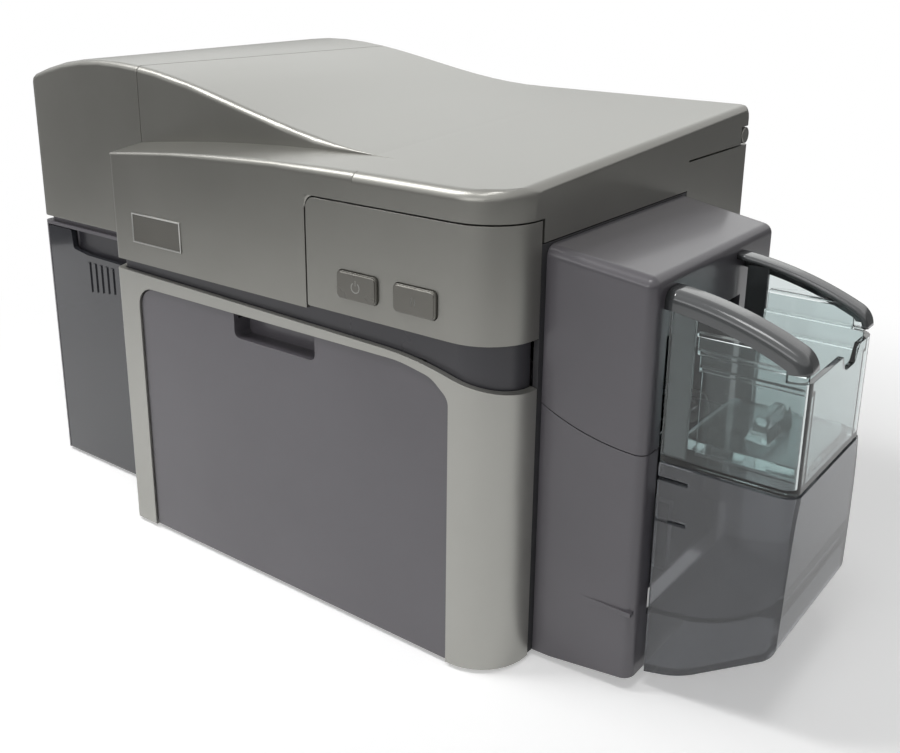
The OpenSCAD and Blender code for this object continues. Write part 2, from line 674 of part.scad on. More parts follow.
// Dark band that shows between the frame and the brow, one step further back
band_y = wall + 1.1;
band_t = 2;
module front_fascia() {
    color([0.22, 0.22, 0.24]) home() intersection() {
        front_skin(band_y, band_t, door_top - 20, brow_low + 5);
        along_y(0, front_back + 1) polygon([[end_cover_w, door_top + 2.6],
            [door_x + door_w - 14, door_top + 2.6], [door_x + door_w + 8, door_top - 12],
            [body_w, door_top - 12], [body_w, brow_low + 5], [end_cover_w, brow_low + 5]]);
    }
}
board_x = [power_x - 22, pause_x + 22];
board_y = wall + 6.5;
function board_posts() = [for (x = [board_x[0] + 4, board_x[1] - 4])
    for (z = [button_z - 7, button_z + 13]) [x, z]];
module control_panel() {
    t = skin_t;
    color("gray") home() difference() {
        union() {
            intersection() {
                front_skin(0, t, brow_low + 1.5, panel_top);
                along_y(-1, front_back + 1) polygon(rounded([[panel_x + seam / 2, brow_low + 1.5, 1],
                    [body_w + 1, brow_low + 1.5, 0], [body_w + 1, panel_top, 0],
                    [panel_x + seam / 2, panel_top, 5]], 6));
            }
            for (p = board_posts()) rod_y(t - 0.5, board_y - 0.1, p[0], p[1], 2.6);
        }
        for (x = [power_x, pause_x]) along_y(-1, t + 1)
            rounded_rect([x - button_w / 2 - button_gap, button_z - button_h / 2 - button_gap],
                [x + button_w / 2 + button_gap, button_z + button_h / 2 + button_gap], 2.4);
    }
}
module button_board() {
    color("darkgreen") home() {
        along_y(board_y, board_y + 1.6)
            rounded_rect([board_x[0], button_z - 17], [board_x[1], button_z + 17], 2);
        for (x = [power_x, pause_x])
            box([x - 3, board_y - 2, button_z - 3], [x + 3, board_y, button_z + 3]);
    }
}
// A pillow-shaped key cap with a flange behind the panel and a stem to its switch
module button_at(x) {
    t = skin_t;
    stem = board_y - 2 - button_travel - 0.15;
    along_y(-button_proud + 0.6, t + 0.3)
        rounded_rect([x - button_w / 2, button_z - button_h / 2],
            [x + button_w / 2, button_z + button_h / 2], 2.2);
    along_y(-button_proud, t)
        rounded_rect([x - button_w / 2 + 0.6, button_z - button_h / 2 + 0.6],
            [x + button_w / 2 - 0.6, button_z + button_h / 2 - 0.6], 1.8);
    along_y(t + 0.2, t + 1.2)
        rounded_rect([x - button_w / 2 - 1, button_z - button_h / 2 - 1],
            [x + button_w / 2 + 1, button_z + button_h / 2 + 1], 2.4);
    rod_y(t + 1, stem, x, button_z, 2);
}
module power_button() {
    color("dimgray") home() button_at(power_x);
}
module pause_button() {
    color("dimgray") home() button_at(pause_x);
}

// ---- floor, feet and rear ------------------------------------------------------------
foot_r = 9;
foot_spots = [[24, front_step + 22], [24, body_d - 22], [body_w - 30, 34], [body_w - 30, body_d - 22],
    [front_left_x + 22, 34]];
pan_front = door_pivot_y + 8;
pan_clear = 0.2;
module pan_plan(i) {
    x0 = wall + pan_clear + i;
    x1 = body_w - skin_t - pan_clear - i;
    y0 = front_step + wall + 4 + i;
    xf = front_left_x + 8 + i;
    polygon(rounded([[x0, y0, 2], [xf, y0, 0], [xf, pan_front + i, 1.5],
        [x1, pan_front + i, max(1, corner_r - pan_front)],
        [x1, rear_y - pan_clear - i, 2], [x0, rear_y - pan_clear - i, 2]], 6));
}
module base_pan() {
    color("dimgray") home() difference() {
        union() {
            difference() {
                along_z(foot_h, foot_h + pan_rim) pan_plan(0);
                along_z(pan_z, foot_h + pan_rim + 1) pan_plan(2);
            }
            // Stiffening ribs, and pads that the engine's side plates stand on
            for (x = [60, 118, 208, 298])
                box([x, front_step + 40, pan_z - 0.5], [x + 1.6, rear_y - 5, pan_z + 2.8]);
            for (x = plate_feet) for (y = [plate_front_y, plate_rear_y])
                box([x, y - 3, pan_z - 0.5], [x + 14, y + plate_t + 3, pan_z + 6]);
        }
        for (p = foot_spots) translate([p[0], p[1], 0]) cylinder(r = 3, h = 20);
        for (k = [0:9]) box([body_w - 123 + k * 9, body_d - 84, foot_h - 1],
            [body_w - 119 + k * 9, body_d - 44, pan_z + 1]);
        for (x = plate_feet) for (y = [plate_front_y, plate_rear_y])
            box([x - 1, y - 0.05, pan_z + 3], [x + 15, y + plate_t + 0.05, pan_z + 7]);
    }
}
module feet() {
    color([0.1, 0.1, 0.1]) home() for (p = foot_spots) translate([p[0], p[1], 0]) {
        rotate_extrude() polygon([[0, 0], [foot_r - 1, 0], [foot_r, 1], [foot_r, foot_h - 0.02],
            [2.98, foot_h - 0.02], [2.98, pan_z + 0.4], [0, pan_z + 0.4]]);
    }
}
rear_top = hinge_z - knuckle_r - 0.5;
vent_x = body_w - 103;
board_back = rear_y - 14;
board_low = 22;
board_span = [130, 250];
board_high = 112;
// A place along the main board, from 0 at its left end to 1 at its right end
function board_at(share) = board_span[0] + share * (board_span[1] - board_span[0]);
port_z = 34;
port_x = [board_at(1 / 6), board_at(7 / 15)];
inlet_x = board_at(0.8);
module rear_cover() {
    x0 = end_cover_w + seam / 2;
    y0 = front_step + housing_d;
    color("gray") home() difference() {
        union() {
            along_z(skirt_z, rear_top) difference() {
                polygon(rounded([[x0, y0 + 0.6, 0], [body_w, y0 + 0.6, 0],
                    [body_w, body_d, edge_r], [x0, body_d, 0]], 8));
                polygon(rounded([[x0 - 1, y0 - 1, 0], [body_w - wall, y0 - 1, 0],
                    [body_w - wall, rear_y, edge_r - wall + 0.5], [x0 - 1, rear_y, 0]], 8));
            }
            // Standoffs for the main board
            for (p = board_holes()) rod_y(board_back + 0.1, rear_y + 0.5, p[0], p[1], 3);
        }
        for (k = [0:11]) for (row = [0:2])
            box([vent_x + k * 7, rear_y - 1, 90 + row * 24],
                [vent_x + k * 7 + 3.4, body_d + 1, 108 + row * 24]);
        for (x = port_x) box([x - 8.3, rear_y - 1, port_z - 7.3], [x + 8.3, body_d + 1, port_z + 7.3]);
        rod_y(rear_y - 1, body_d + 1, inlet_x, port_z, 6.3);
        for (p = bracket_screws()) {
            rod_y(rear_y - 1, body_d + 1, p[0], p[1], screw_r + 0.05);
            rod_y(body_d - head_sink - 0.02, body_d + 1, p[0], p[1], screw_head_r + 0.1);
        }
        // The covers' corner meets the floor pan here
        box([x0 - 1, y0, -1],
            [body_w - wall + 0.01, rear_y, foot_h + pan_rim + 0.3]);
    }
}
module right_wall() {
    half = card_w / 2 + 1.5;
    color([0.3, 0.3, 0.32]) home() difference() {
        box([body_w - wall, front_back + 0.3, skirt_z + 1],
            [body_w, front_step + housing_d + 0.4, lid_right_low - 0.6]);
        // Slots for cards going in and coming out
        box([body_w - wall - 1, card_y - half, card_z - 1], [body_w + 1, card_y + half, card_z + 3]);
        box([body_w - wall - 1, card_y - half, card_z - 14], [body_w + 1, card_y + half, card_z - 8]);
    }
}
function board_holes() = [for (x = [board_span[0] + 5, board_span[1] - 5])
    for (z = [board_low + 5, board_high - 5]) [x, z]];
module main_board() {
    color("darkgreen") home() {
        difference() {
            box([board_span[0], board_back - 1.6, board_low],
                [board_span[1], board_back, board_high]);
            for (p = board_holes()) rod_y(board_back - 3, board_back + 1, p[0], p[1], 1.6);
        }
        // Processor, memory, two capacitors and a row of plug sockets
        box([board_at(1 / 3), board_back - 4, board_low + 38],
            [board_at(8 / 15), board_back - 1.6, board_low + 62]);
        box([board_at(0.63), board_back - 3.2, board_low + 44],
            [board_at(0.78), board_back - 1.6, board_low + 56]);
        for (x = [board_at(0.1), board_at(0.22)])
            rod_y(board_back - 12, board_back - 1.6, x, board_high - 22, 5);
        box([board_at(0.58), board_back - 9, board_high - 20],
            [board_at(0.88), board_back - 1.6, board_high - 14]);
    }
}
module data_ports() {
    color("silver") home() for (x = port_x) difference() {
        box([x - 8, board_back + 0.05, port_z - 7], [x + 8, body_d - 0.6, port_z + 7]);
        box([x - 6, rear_y - 8, port_z - 4.5], [x + 6, body_d + 1, port_z + 4.5]);
    }
}
module power_inlet() {
    color([0.12, 0.12, 0.12]) home() difference() {
        union() {
            rod_y(board_back + 0.05, body_d - 0.6, inlet_x, port_z, 6);
            box([inlet_x - 7, board_back + 0.05, port_z - 8], [inlet_x + 7, rear_y - 0.2, port_z + 7]);
        }
        rod_y(rear_y - 8, body_d + 1, inlet_x, port_z, 4);
        rod_y(body_d - 4, body_d + 1, inlet_x, port_z, 4.6);
    }
}

// ---- print engine --------------------------------------------------------------------
plate_front_y = card_y - engine_w / 2 - plate_t;
plate_rear_y = card_y + engine_w / 2;
plate_x = [118, body_w - wall - 4];
plate_feet = [122, 320];
plate_top = 140;
gear_y = plate_front_y - 1.2 - gear_t;
roller_z = card_z - roller_r;
pinch_z = card_z + card_t + pinch_r;
function pitch_r(n) = gear_m * n / 2;
idler_x = platen_x + pitch_r(roller_teeth) + pitch_r(idler_teeth);
infeed_x = idler_x + pitch_r(idler_teeth) + pitch_r(roller_teeth);
small_idler_x = platen_x - pitch_r(roller_teeth) - pitch_r(small_idler_teeth);
outfeed_x = small_idler_x - pitch_r(small_idler_teeth) - pitch_r(roller_teeth);
pinion_z = roller_z - pitch_r(idler_teeth) - pitch_r(pinion_teeth);
cleaner_x = infeed_x + 2 * pinch_r + 8;
takeup_x = platen_x - spool_dx;
supply_x = platen_x + spool_dx;
bush_r = shaft_r + bush_wall;
shafts = [[platen_x, roller_z], [infeed_x, roller_z], [outfeed_x, roller_z], [infeed_x, pinch_z],
    [outfeed_x, pinch_z], [cleaner_x, pinch_z]];
tie_spots = [[130, 34], [plate_x[1] - 12, 34], [130, 86], [230, 30]];
tie_r = 4;
screw_r = 1.5;
head_slot = platen_x + head_w / 2 + 8;
module plate_outline() {
    polygon(rounded([[plate_x[0], pan_z + 3.1, 2], [plate_x[1], pan_z + 3.1, 2],
        [plate_x[1], plate_top - 2, 5], [head_slot + 8, plate_top - 2, 5], [head_slot + 1, 127, 3],
        [platen_x - head_w / 2 - 9, 127, 3], [platen_x - head_w / 2 - 16, plate_top - 2, 5],
        [plate_x[0], plate_top - 2, 5]], 4));
}
module plate_holes() {
    for (s = shafts) translate(s) circle(r = bush_r + 0.02);
    for (s = tie_spots) translate(s) circle(r = screw_r + 0.1);
    for (x = [150, 190]) translate([x, 66]) circle(r = 8);
}
module engine_plate_front() {
    color("silver") home() along_y(plate_front_y, plate_front_y + plate_t) difference() {
        plate_outline();
        plate_holes();
        for (x = [idler_x, small_idler_x]) translate([x, roller_z]) circle(r = 2.02);
        translate([idler_x, pinion_z]) circle(r = 11.2);
        for (a = [45:90:315]) translate([idler_x + 22 * cos(a), pinion_z + 22 * sin(a)])
            circle(r = 1.6);
    }
}
module engine_plate_rear() {
    color("silver") home() along_y(plate_rear_y, plate_rear_y + plate_t) difference() {
        union() {
            plate_outline();
            translate([takeup_x, spool_z]) circle(r = 13);
            translate([takeup_x - 13, plate_top - 20]) square([26, spool_z - plate_top + 20]);
        }
        plate_holes();
        translate([takeup_x, spool_z]) circle(r = 4.2);
    }
}
// Bars that tie the two side plates together, with a screw at each end
module tie_bars() {
    half = engine_w / 2;
    color("silver") home() for (s = tie_spots) {
        rod_y(card_y - half + 0.02, card_y + half - 0.02, s[0], s[1], tie_r);
        both_sides() {
            rod_y(half - 0.1, half + plate_t + 2, s[0], s[1], screw_r);
            rod_y(half + plate_t + 0.02, half + plate_t + 2.2, s[0], s[1], 3);
        }
    }
}
module shaft_bushes() {
    half = engine_w / 2;
    color("goldenrod") home() both_sides() for (s = shafts) difference() {
        union() {
            rod_y(half - 1.4, half + plate_t, s[0], s[1], bush_r);
            rod_y(half - 1.4, half - 0.02, s[0], s[1], bush_r + 0.7);
        }
        rod_y(half - 3, half + 4, s[0], s[1], shaft_r + run_fit);
    }
}
// A roller: a shaft through both bushes, a sleeve as wide as a card and a groove at each end
module roller_at(x, z, r, front) {
    half = card_w / 2 + 2;
    rod_y(front, plate_rear_y + plate_t + 2, x, z, shaft_r);
    rod_y(card_y - half, card_y + half, x, z, r);
    both_sides() rod_y(half + 0.8, half + 3.2, x, z, shaft_r + 1.4);
}
module platen_roller() {
    color([0.15, 0.15, 0.15]) home() roller_at(platen_x, roller_z, roller_r, gear_y - 0.8);
}
module infeed_roller() {
    color([0.15, 0.15, 0.15]) home() roller_at(infeed_x, roller_z, roller_r, gear_y - 0.8);
}
module outfeed_roller() {
    color([0.15, 0.15, 0.15]) home() roller_at(outfeed_x, roller_z, roller_r, gear_y - 0.8);
}
module pinch_roller_right() {
    color("gray") home() roller_at(infeed_x, pinch_z, pinch_r, plate_front_y - 1);
}
module pinch_roller_left() {
    color("gray") home() roller_at(outfeed_x, pinch_z, pinch_r, plate_front_y - 1);
}
module cleaning_roller() {
    color("skyblue") home() roller_at(cleaner_x, pinch_z, pinch_r, plate_front_y - 1);
}

// ---- gears ---------------------------------------------------------------------------
pressure = 20;
function involute(a) = tan(a) * 180 / PI - a;
// Half the angle that a tooth fills at radius r of a gear with n teeth
function half_tooth(n, r) = tooth_share * 180 / n + involute(pressure)
    - involute(acos(min(1, pitch_r(n) * cos(pressure) / r)));
function gear_outline(n) = let (base = pitch_r(n) * cos(pressure), root = pitch_r(n) - 1.25 * gear_m,
        low = max(base, root + 0.1), tip = pitch_r(n) + gear_m,
        radii = [root, low, pitch_r(n), tip],
        half = [for (r = radii) half_tooth(n, max(r, low))])
    [for (k = [0:n - 1]) let (c = 360 * k / n) each concat(
        [for (i = [0:3]) radii[i] * [cos(c - half[i]), sin(c - half[i])]],
        [for (i = [3:-1:0]) radii[i] * [cos(c + half[i]), sin(c + half[i])]])];
// Angle of the first tooth of the next gear, so that its gap meets the last gear's tooth
function mesh(start, n0, n1, way) = way + 180 - n0 / n1 * (start - way) - 180 / n1;
module gear_at(x, z, n, bore, start, web) {
    difference() {
        along_y(gear_y, gear_y + gear_t) translate([x, z]) rotate(start) difference() {
            polygon(gear_outline(n));
            circle(r = bore);
        }
        if (web > 0) {
            along_y(gear_y - 1, gear_y + 2) translate([x, z]) difference() {
                circle(r = pitch_r(n) - 2.6 * gear_m);
                circle(r = bore + 3);
            }
            for (k = [0:4]) along_y(gear_y, gear_y + gear_t + 1) translate([x, z])
                rotate(start + k * 72) translate([(pitch_r(n) - 2.6 * gear_m + bore + 3) / 2, 0])
                    circle(r = web);
        }
    }
}
platen_start = 0;
idler_start = mesh(platen_start, roller_teeth, idler_teeth, 0);
infeed_start = mesh(idler_start, idler_teeth, roller_teeth, 0);
pinion_start = mesh(idler_start, idler_teeth, pinion_teeth, -90);
small_start = mesh(platen_start, roller_teeth, small_idler_teeth, 180);
outfeed_start = mesh(small_start, small_idler_teeth, roller_teeth, 180);
module platen_gear() {
    color("ivory") home() gear_at(platen_x, roller_z, roller_teeth, shaft_r + 0.01, platen_start, 0);
}
module infeed_gear() {
    color("ivory") home() gear_at(infeed_x, roller_z, roller_teeth, shaft_r + 0.01, infeed_start, 0);
}
module outfeed_gear() {
    color("ivory") home()
        gear_at(outfeed_x, roller_z, roller_teeth, shaft_r + 0.01, outfeed_start, 0);
}
module large_idler() {
    color("ivory") home() gear_at(idler_x, roller_z, idler_teeth, 2 + run_fit, idler_start, 7);
}
module small_idler() {
    color("ivory") home()
        gear_at(small_idler_x, roller_z, small_idler_teeth, 2 + run_fit, small_start, 3.4);
}
module motor_pinion() {
    color("goldenrod") home() gear_at(idler_x, pinion_z, pinion_teeth, 2.01, pinion_start, 0);
}
// Fixed studs that the idlers turn on, riveted into the front plate
module idler_studs() {
    color("silver") home() for (x = [idler_x, small_idler_x]) {
        rod_y(gear_y - 0.3, plate_front_y + plate_t + 1, x, roller_z, 2);
        rod_y(gear_y - 1.2, gear_y - 0.2, x, roller_z, 3.4);
        rod_y(plate_front_y - 1, plate_front_y - 0.02, x, roller_z, 4);
    }
}
motor_w = 38;
motor_len = 30;
module feed_motor() {
    y0 = plate_front_y + plate_t + 0.05;
    color([0.25, 0.25, 0.27]) home() {
        intersection() {
            box([idler_x - motor_w / 2, y0, pinion_z - motor_w / 2],
                [idler_x + motor_w / 2, y0 + motor_len, pinion_z + motor_w / 2]);
            rod_y(y0 - 1, y0 + motor_len + 1, idler_x, pinion_z, motor_w * 0.66);
        }
        rod_y(y0 - 2.4, y0 + 1, idler_x, pinion_z, 11);
        rod_y(gear_y - 0.4, y0, idler_x, pinion_z, 2);
        for (a = [45:90:315])
            rod_y(plate_front_y - 0.9, y0 + 1, idler_x + 22 * cos(a), pinion_z + 22 * sin(a), 1.5);
    }
}
// Guides that carry the card's edges between the rollers; the cartridge stands on them
guide_top = card_z - 0.6;
guide_spans = [[plate_x[0] + 2, outfeed_x - 10], [outfeed_x + 10, platen_x - 10],
    [platen_x + 10, infeed_x - 10]];
module card_guides() {
    color([0.2, 0.2, 0.22]) home() for (s = guide_spans) {
        both_sides() {
            box([s[0], card_w / 2 - 4, guide_top - 2], [s[1], engine_w / 2 - 0.05, guide_top]);
            box([s[0], card_w / 2 + 0.5, guide_top - 0.5],
                [s[1], card_w / 2 + 2, guide_top + 2.2]);
        }
        // Floor between the two edges
        box([s[0] + 1, card_y - card_w / 2 + 3, guide_top - 2],
            [s[1] - 1, card_y + card_w / 2 - 3, guide_top - 0.6]);
    }
}

// ---- ribbon cartridge ----------------------------------------------------------------
cart_y = card_y - ribbon_w / 2 - 5.4;
cart_y1 = card_y + ribbon_w / 2 + 5.4;
cart_low = guide_top + 2.3;
module cartridge_end() {
    w = spool_dx + 22;
    difference() {
        polygon(rounded([[platen_x - w, cart_low, 3], [platen_x + w, cart_low, 3],
            [platen_x + w, spool_z + 12, 10], [supply_x - 12, spool_z + 12, 10],
            [supply_x - 20, cart_low + 5, 3], [takeup_x + 20, cart_low + 5, 3],
            [takeup_x + 12, spool_z + 12, 10], [platen_x - w, spool_z + 12, 10]], 5));
        for (x = [takeup_x, supply_x]) translate([x, spool_z]) circle(r = core_r + run_fit);
    }
}
module ribbon_frame() {
    w = spool_dx + 22;
    color("steelblue") home() {
        along_y(cart_y - cartridge_t, cart_y) cartridge_end();
        along_y(cart_y1, cart_y1 + cartridge_t) cartridge_end();
        for (x = [platen_x - w, platen_x + w - 2.4]) {
            box([x, cart_y - 0.5, spool_z - 22], [x + 2.4, cart_y1 + 0.5, spool_z - 4]);
            rod_y(cart_y - 0.5, cart_y1 + 0.5, x + 1.2, cart_low + 4, 2.4);
        }
    }
}
// Cardboard core with a drive collar, and the ribbon wound on it
module spool_at(x, roll) {
    difference() {
        union() {
            rod_y(cart_y - cartridge_t - 1, cart_y1 + cartridge_t + 0.6, x, spool_z, core_r);
            rod_y(card_y - ribbon_w / 2, card_y + ribbon_w / 2, x, spool_z, roll);
            for (y = [cart_y + 0.6, cart_y1 - 2.1]) rod_y(y, y + 1.5, x, spool_z, core_r + 2);
        }
        rod_y(cart_y - 20, cart_y1 + 20, x, spool_z, core_r - 1.8);
    }
}
module supply_spool() {
    color([0.35, 0.2, 0.35]) home() spool_at(supply_x, supply_r);
}
module takeup_spool() {
    color([0.3, 0.3, 0.35]) home() {
        spool_at(takeup_x, takeup_r);
        // Hub that the motor turns
        rod_y(cart_y1 - 6, cart_y1 - 2, takeup_x, spool_z, core_r - 1.7);
    }
}
module takeup_motor() {
    y0 = plate_rear_y + plate_t + 0.05;
    color([0.25, 0.25, 0.27]) home() {
        rod_y(y0, y0 + 26, takeup_x, spool_z, 12);
        rod_y(y0 - plate_t, y0 + 1, takeup_x, spool_z, 4);
        rod_y(y0 + 25, y0 + 28, takeup_x, spool_z, 4);
        rod_y(cart_y1 - 1.7, y0, takeup_x, spool_z, 3.4);
    }
}

// ---- hopper housing ------------------------------------------------------------------
house_y = front_step + 0.2;
house_y1 = front_step + housing_d;
house_gap = 0.15;
house_wall = 2.4;
module house_form(i, z0) {
    x0 = body_w + house_gap;
    x1 = housing_x - i;
    r = housing_r - i / 2;
    hull() for (y = [house_y + i + r, house_y1 - i - r]) {
        out = y + (y < card_y ? 2 : -5);
        translate([x1 - r, out, housing_h - housing_fall - i - r]) sphere(r, $fn = 32);
        translate([x1 - r, out, z0]) cylinder(r = r, h = 1, $fn = 32);
        translate([x0, y, housing_h - i - r]) rotate([0, 90, 0]) cylinder(r = r, h = 0.1, $fn = 32);
        box([x0, y - r, z0], [x0 + 0.1, y + r, z0 + 1]);
    }
}
hopper_y = card_y - bin_d / 2;
hopper_y1 = card_y + bin_d / 2;
parting_c = [housing_x, parting_z + parting_r];
module parting_side(g) {
    along_y(house_y - 5, house_y1 + 5) union() {
        translate(parting_c) circle(r = parting_r + g, $fn = 128);
        translate([body_w - 20, parting_c[1]]) square([200, 100]);
    }
}
// Top of the opening that the card stack reaches through
stack_top = 160;
module housing_upper() {
    color([0.27, 0.26, 0.29]) home() difference() {
        intersection() {
            house_form(0, parting_z - 6);
            parting_side(0);
        }
        house_form(house_wall, parting_z - 20);
        // Opening over the card stack
        box([housing_x - house_wall - 3, hopper_y + 4, bin_seam],
            [housing_x + 1, hopper_y1 - 4, stack_top]);
    }
}
module housing_lower() {
    color([0.27, 0.26, 0.29]) home() difference() {
        union() {
            difference() {
                house_form(0, skirt_z + 1);
                house_form(house_wall, skirt_z - 3);
            }
            // Shelf that the printed cards slide over into the bin
            box([body_w + house_gap, house_y + 1, bin_floor - 3],
                [housing_x - 1, house_y1 - 6, bin_floor - 1]);
        }
        parting_side(0.5);
        along_y(0, body_d) polygon([[body_w - 1, -1], [housing_x + 1, -1], [housing_x + 1, 7],
            [body_w - 1, skirt_z]]);
        // Mouth of the bin
        box([housing_x - house_wall - 3, hopper_y + 4, bin_floor - 8],
            [housing_x + 1, hopper_y1 - 4, bin_seam + 40]);
        along_y(0, body_d) translate([body_w - 20, parting_c[1]]) square([200, 100]);
    }
}
// Steel cradle of the pick roller, fixed to the right wall
pick_x = body_w + 30;
pick_z = card_z - roller_r;
cradle_t = 1.5;
module feeder_frame() {
    y0 = card_y - card_w / 2 - 6;
    y1 = card_y + card_w / 2 + 6;
    color("silver") home() difference() {
        union() {
            for (y = [y0, y1 - cradle_t]) along_y(y, y + cradle_t)
                polygon(rounded([[body_w + 0.05, pick_z - 26, 1], [pick_x, pick_z - 12, 6],
                    [pick_x + 11, pick_z - 4, 5], [pick_x + 9, pick_z + 7.4, 3],
                    [body_w + 0.05, pick_z + 7.4, 1]], 4));
            box([body_w + 0.05, y0, pick_z - 26], [body_w + 1.5, y1, pick_z - 16]);
        }
        rod_y(y0 - 1, y1 + 1, pick_x, pick_z, shaft_r + run_fit);
    }
}
module pick_roller() {
    color([0.15, 0.15, 0.15]) home() {
        rod_y(card_y - card_w / 2 - 9, card_y + card_w / 2 + 9, pick_x, pick_z, shaft_r);
        both_sides() {
            rod_y(6, 18, pick_x, pick_z, roller_r);
            rod_y(card_w / 2 + 1.3, card_w / 2 + 3.7, pick_x, pick_z, shaft_r + 1.5);
        }
    }
}

// ---- hopper and bin ------------------------------------------------------------------
// Plan outline of the hopper and the bin, with round outer corners
module bin_plan(i) {
    polygon(rounded([[bin_x, hopper_y + i, 0], [total_w - i, hopper_y + i, max(1, bin_r - i)],
        [total_w - i, hopper_y1 - i, max(1, bin_r - i)], [bin_x, hopper_y1 - i, 0]], 6));
}
// The rails' arched top, as a disc whose crest lies inside the housing
arc_back = 13;
arc_z = rail_h - sqrt(pow(rail_arc_r, 2) - pow(arc_back, 2));
module rail_disc(g) {
    translate([housing_x - arc_back, arc_z]) circle(r = rail_arc_r + g, $fn = 160);
}
rail_proud = 0.6;
// Half the clear width between the hopper's side walls
clear_half = bin_d / 2 - rail_proud - bin_wall;
// Inner end of the card stack
stack_x = total_w - rail_proud - bin_wall - 1 - card_l;
// Stepped guide inside a side wall, which narrows down to the width of a card: its outline
// from the card's centre line outwards, and its wall
steps_down = 8;
guide_wall = 1.4;
module guide_outline() {
    inner = card_w / 2 + 1.5;
    d = (clear_half - inner) / 3;
    for (k = [0:2]) {
        z = guide_high - k * steps_down;
        low = k < 2 ? z - steps_down - guide_wall : bin_seam + 1;
        translate([clear_half - (k + 1) * d, z - guide_wall]) square([d + guide_wall, guide_wall]);
        translate([clear_half - (k + 1) * d, low]) square([guide_wall, z - low]);
    }
}
leg_w = 10;
module input_hopper() {
    floor_t = 2;
    color([0.75, 0.8, 0.8, 0.5]) home() difference() {
        union() {
            difference() {
                intersection() {
                    along_z(bin_seam + seam / 2, rail_h) bin_plan(rail_proud);
                    along_y(0, body_d) difference() {
                        rail_disc(-3.5);
                        translate([total_w - 9, end_wall_h]) square([20, 40]);
                    }
                }
                along_z(bin_seam + seam / 2 + floor_t, rail_h + 9)
                    bin_plan(rail_proud + bin_wall);
            }
            // Stepped guides for the card edges
            both_sides() intersection() {
                along_x(bin_x + leg_w + 1, total_w - rail_proud - bin_wall + 0.3) guide_outline();
                along_y(-body_d, body_d) rail_disc(-4.5);
            }
            // Tongue that reaches into the housing under the card stack
            box([stack_x - 10, card_y - card_w / 2 - 1, bin_seam + seam / 2],
                [bin_x + 1, card_y + card_w / 2 + 1, bin_seam + seam / 2 + floor_t]);
        }
        // Notch for a thumb in the end wall
        translate([0, card_y + notch_back, 0]) rotate([0, 0, 90])
            along_y(-total_w - 5, -total_w + bin_wall + 2)
            polygon(rounded([[-notch_w / 2, end_wall_h + 1, 0],
                [-notch_w / 2 + 5, end_wall_h - notch_h, 3],
                [notch_w / 2 - 5, end_wall_h - notch_h, 3], [notch_w / 2, end_wall_h + 1, 0]], 4));
        // Window for the pick roller
        box([pick_x - roller_r - 2, card_y - 20, bin_seam - 2],
            [pick_x + roller_r + 2, card_y + 20, bin_seam + 8]);
    }
}
// Solid of revolution about the centre of the rails' arch, with the outer top edges round
rail_round = 5;
module rail_arch() {
    translate([housing_x - arc_back, 0, arc_z]) rotate([90, 0, 0]) rotate_extrude($fn = 160)
        polygon(rounded([[0, -hopper_y1, 0], [rail_arc_r, -hopper_y1, rail_round],
            [rail_arc_r, -hopper_y, rail_round], [0, -hopper_y, 0]], 6));
}
module hopper_rails() {
    color([0.2, 0.2, 0.22]) home() {
        rail_caps();
        // Legs inside the clear walls, beside the housing
        both_sides() box([bin_x + 0.3, clear_half - 2.2, bin_seam + 3],
            [bin_x + leg_w, clear_half - 0.1, rail_h - 6]);
    }
}
module rail_caps() {
    difference() {
        intersection() {
            along_z(rail_low - 8, rail_h + 2) difference() {
                bin_plan(0);
                translate([0, hopper_y + rail_w]) square([total_w + 9, bin_d - 2 * rail_w]);
            }
            rail_arch();
            // The lower edge rises towards the outer end
            along_y(0, body_d) polygon([[bin_x - 1, rail_low], [total_w + 9, rail_low + 5],
                [total_w + 9, rail_h + 9], [bin_x - 1, rail_h + 9]]);
        }
        // Room for the stepped guides
        box([bin_x - 1, card_y - clear_half, 0],
            [total_w + 1, card_y + clear_half, guide_high + 1.5]);
        // Room for the clear wall that the rails cap, and the hollow under their top
        along_y(card_y - clear_half + 2, card_y + clear_half - 2) rail_disc(-3);
        intersection() {
            along_z(rail_low - 9, rail_h) difference() {
                bin_plan(rail_proud - 0.1);
                bin_plan(rail_proud + bin_wall + 0.1);
            }
            along_y(0, body_d) rail_disc(-3.4);
        }
    }
}
// Weight that presses the cards down
module card_weight() {
    x0 = bin_x + 3;
    x1 = total_w - bin_wall - 1.5;
    z0 = bin_seam + seam / 2 + 2.3;
    half = card_w / 2;
    color([0.2, 0.2, 0.22]) home() {
        along_z(z0, z0 + weight_h)
            rounded_rect([x0, card_y - half], [x1, card_y + half], 4);
        hull() {
            box([x0 + 22, card_y - 14, z0 + weight_h - 1], [x0 + 32, card_y + 14, z0 + weight_h]);
            box([x0 + 25, card_y - 10, z0 + 14], [x0 + 29, card_y + 10, z0 + 15]);
        }
    }
}
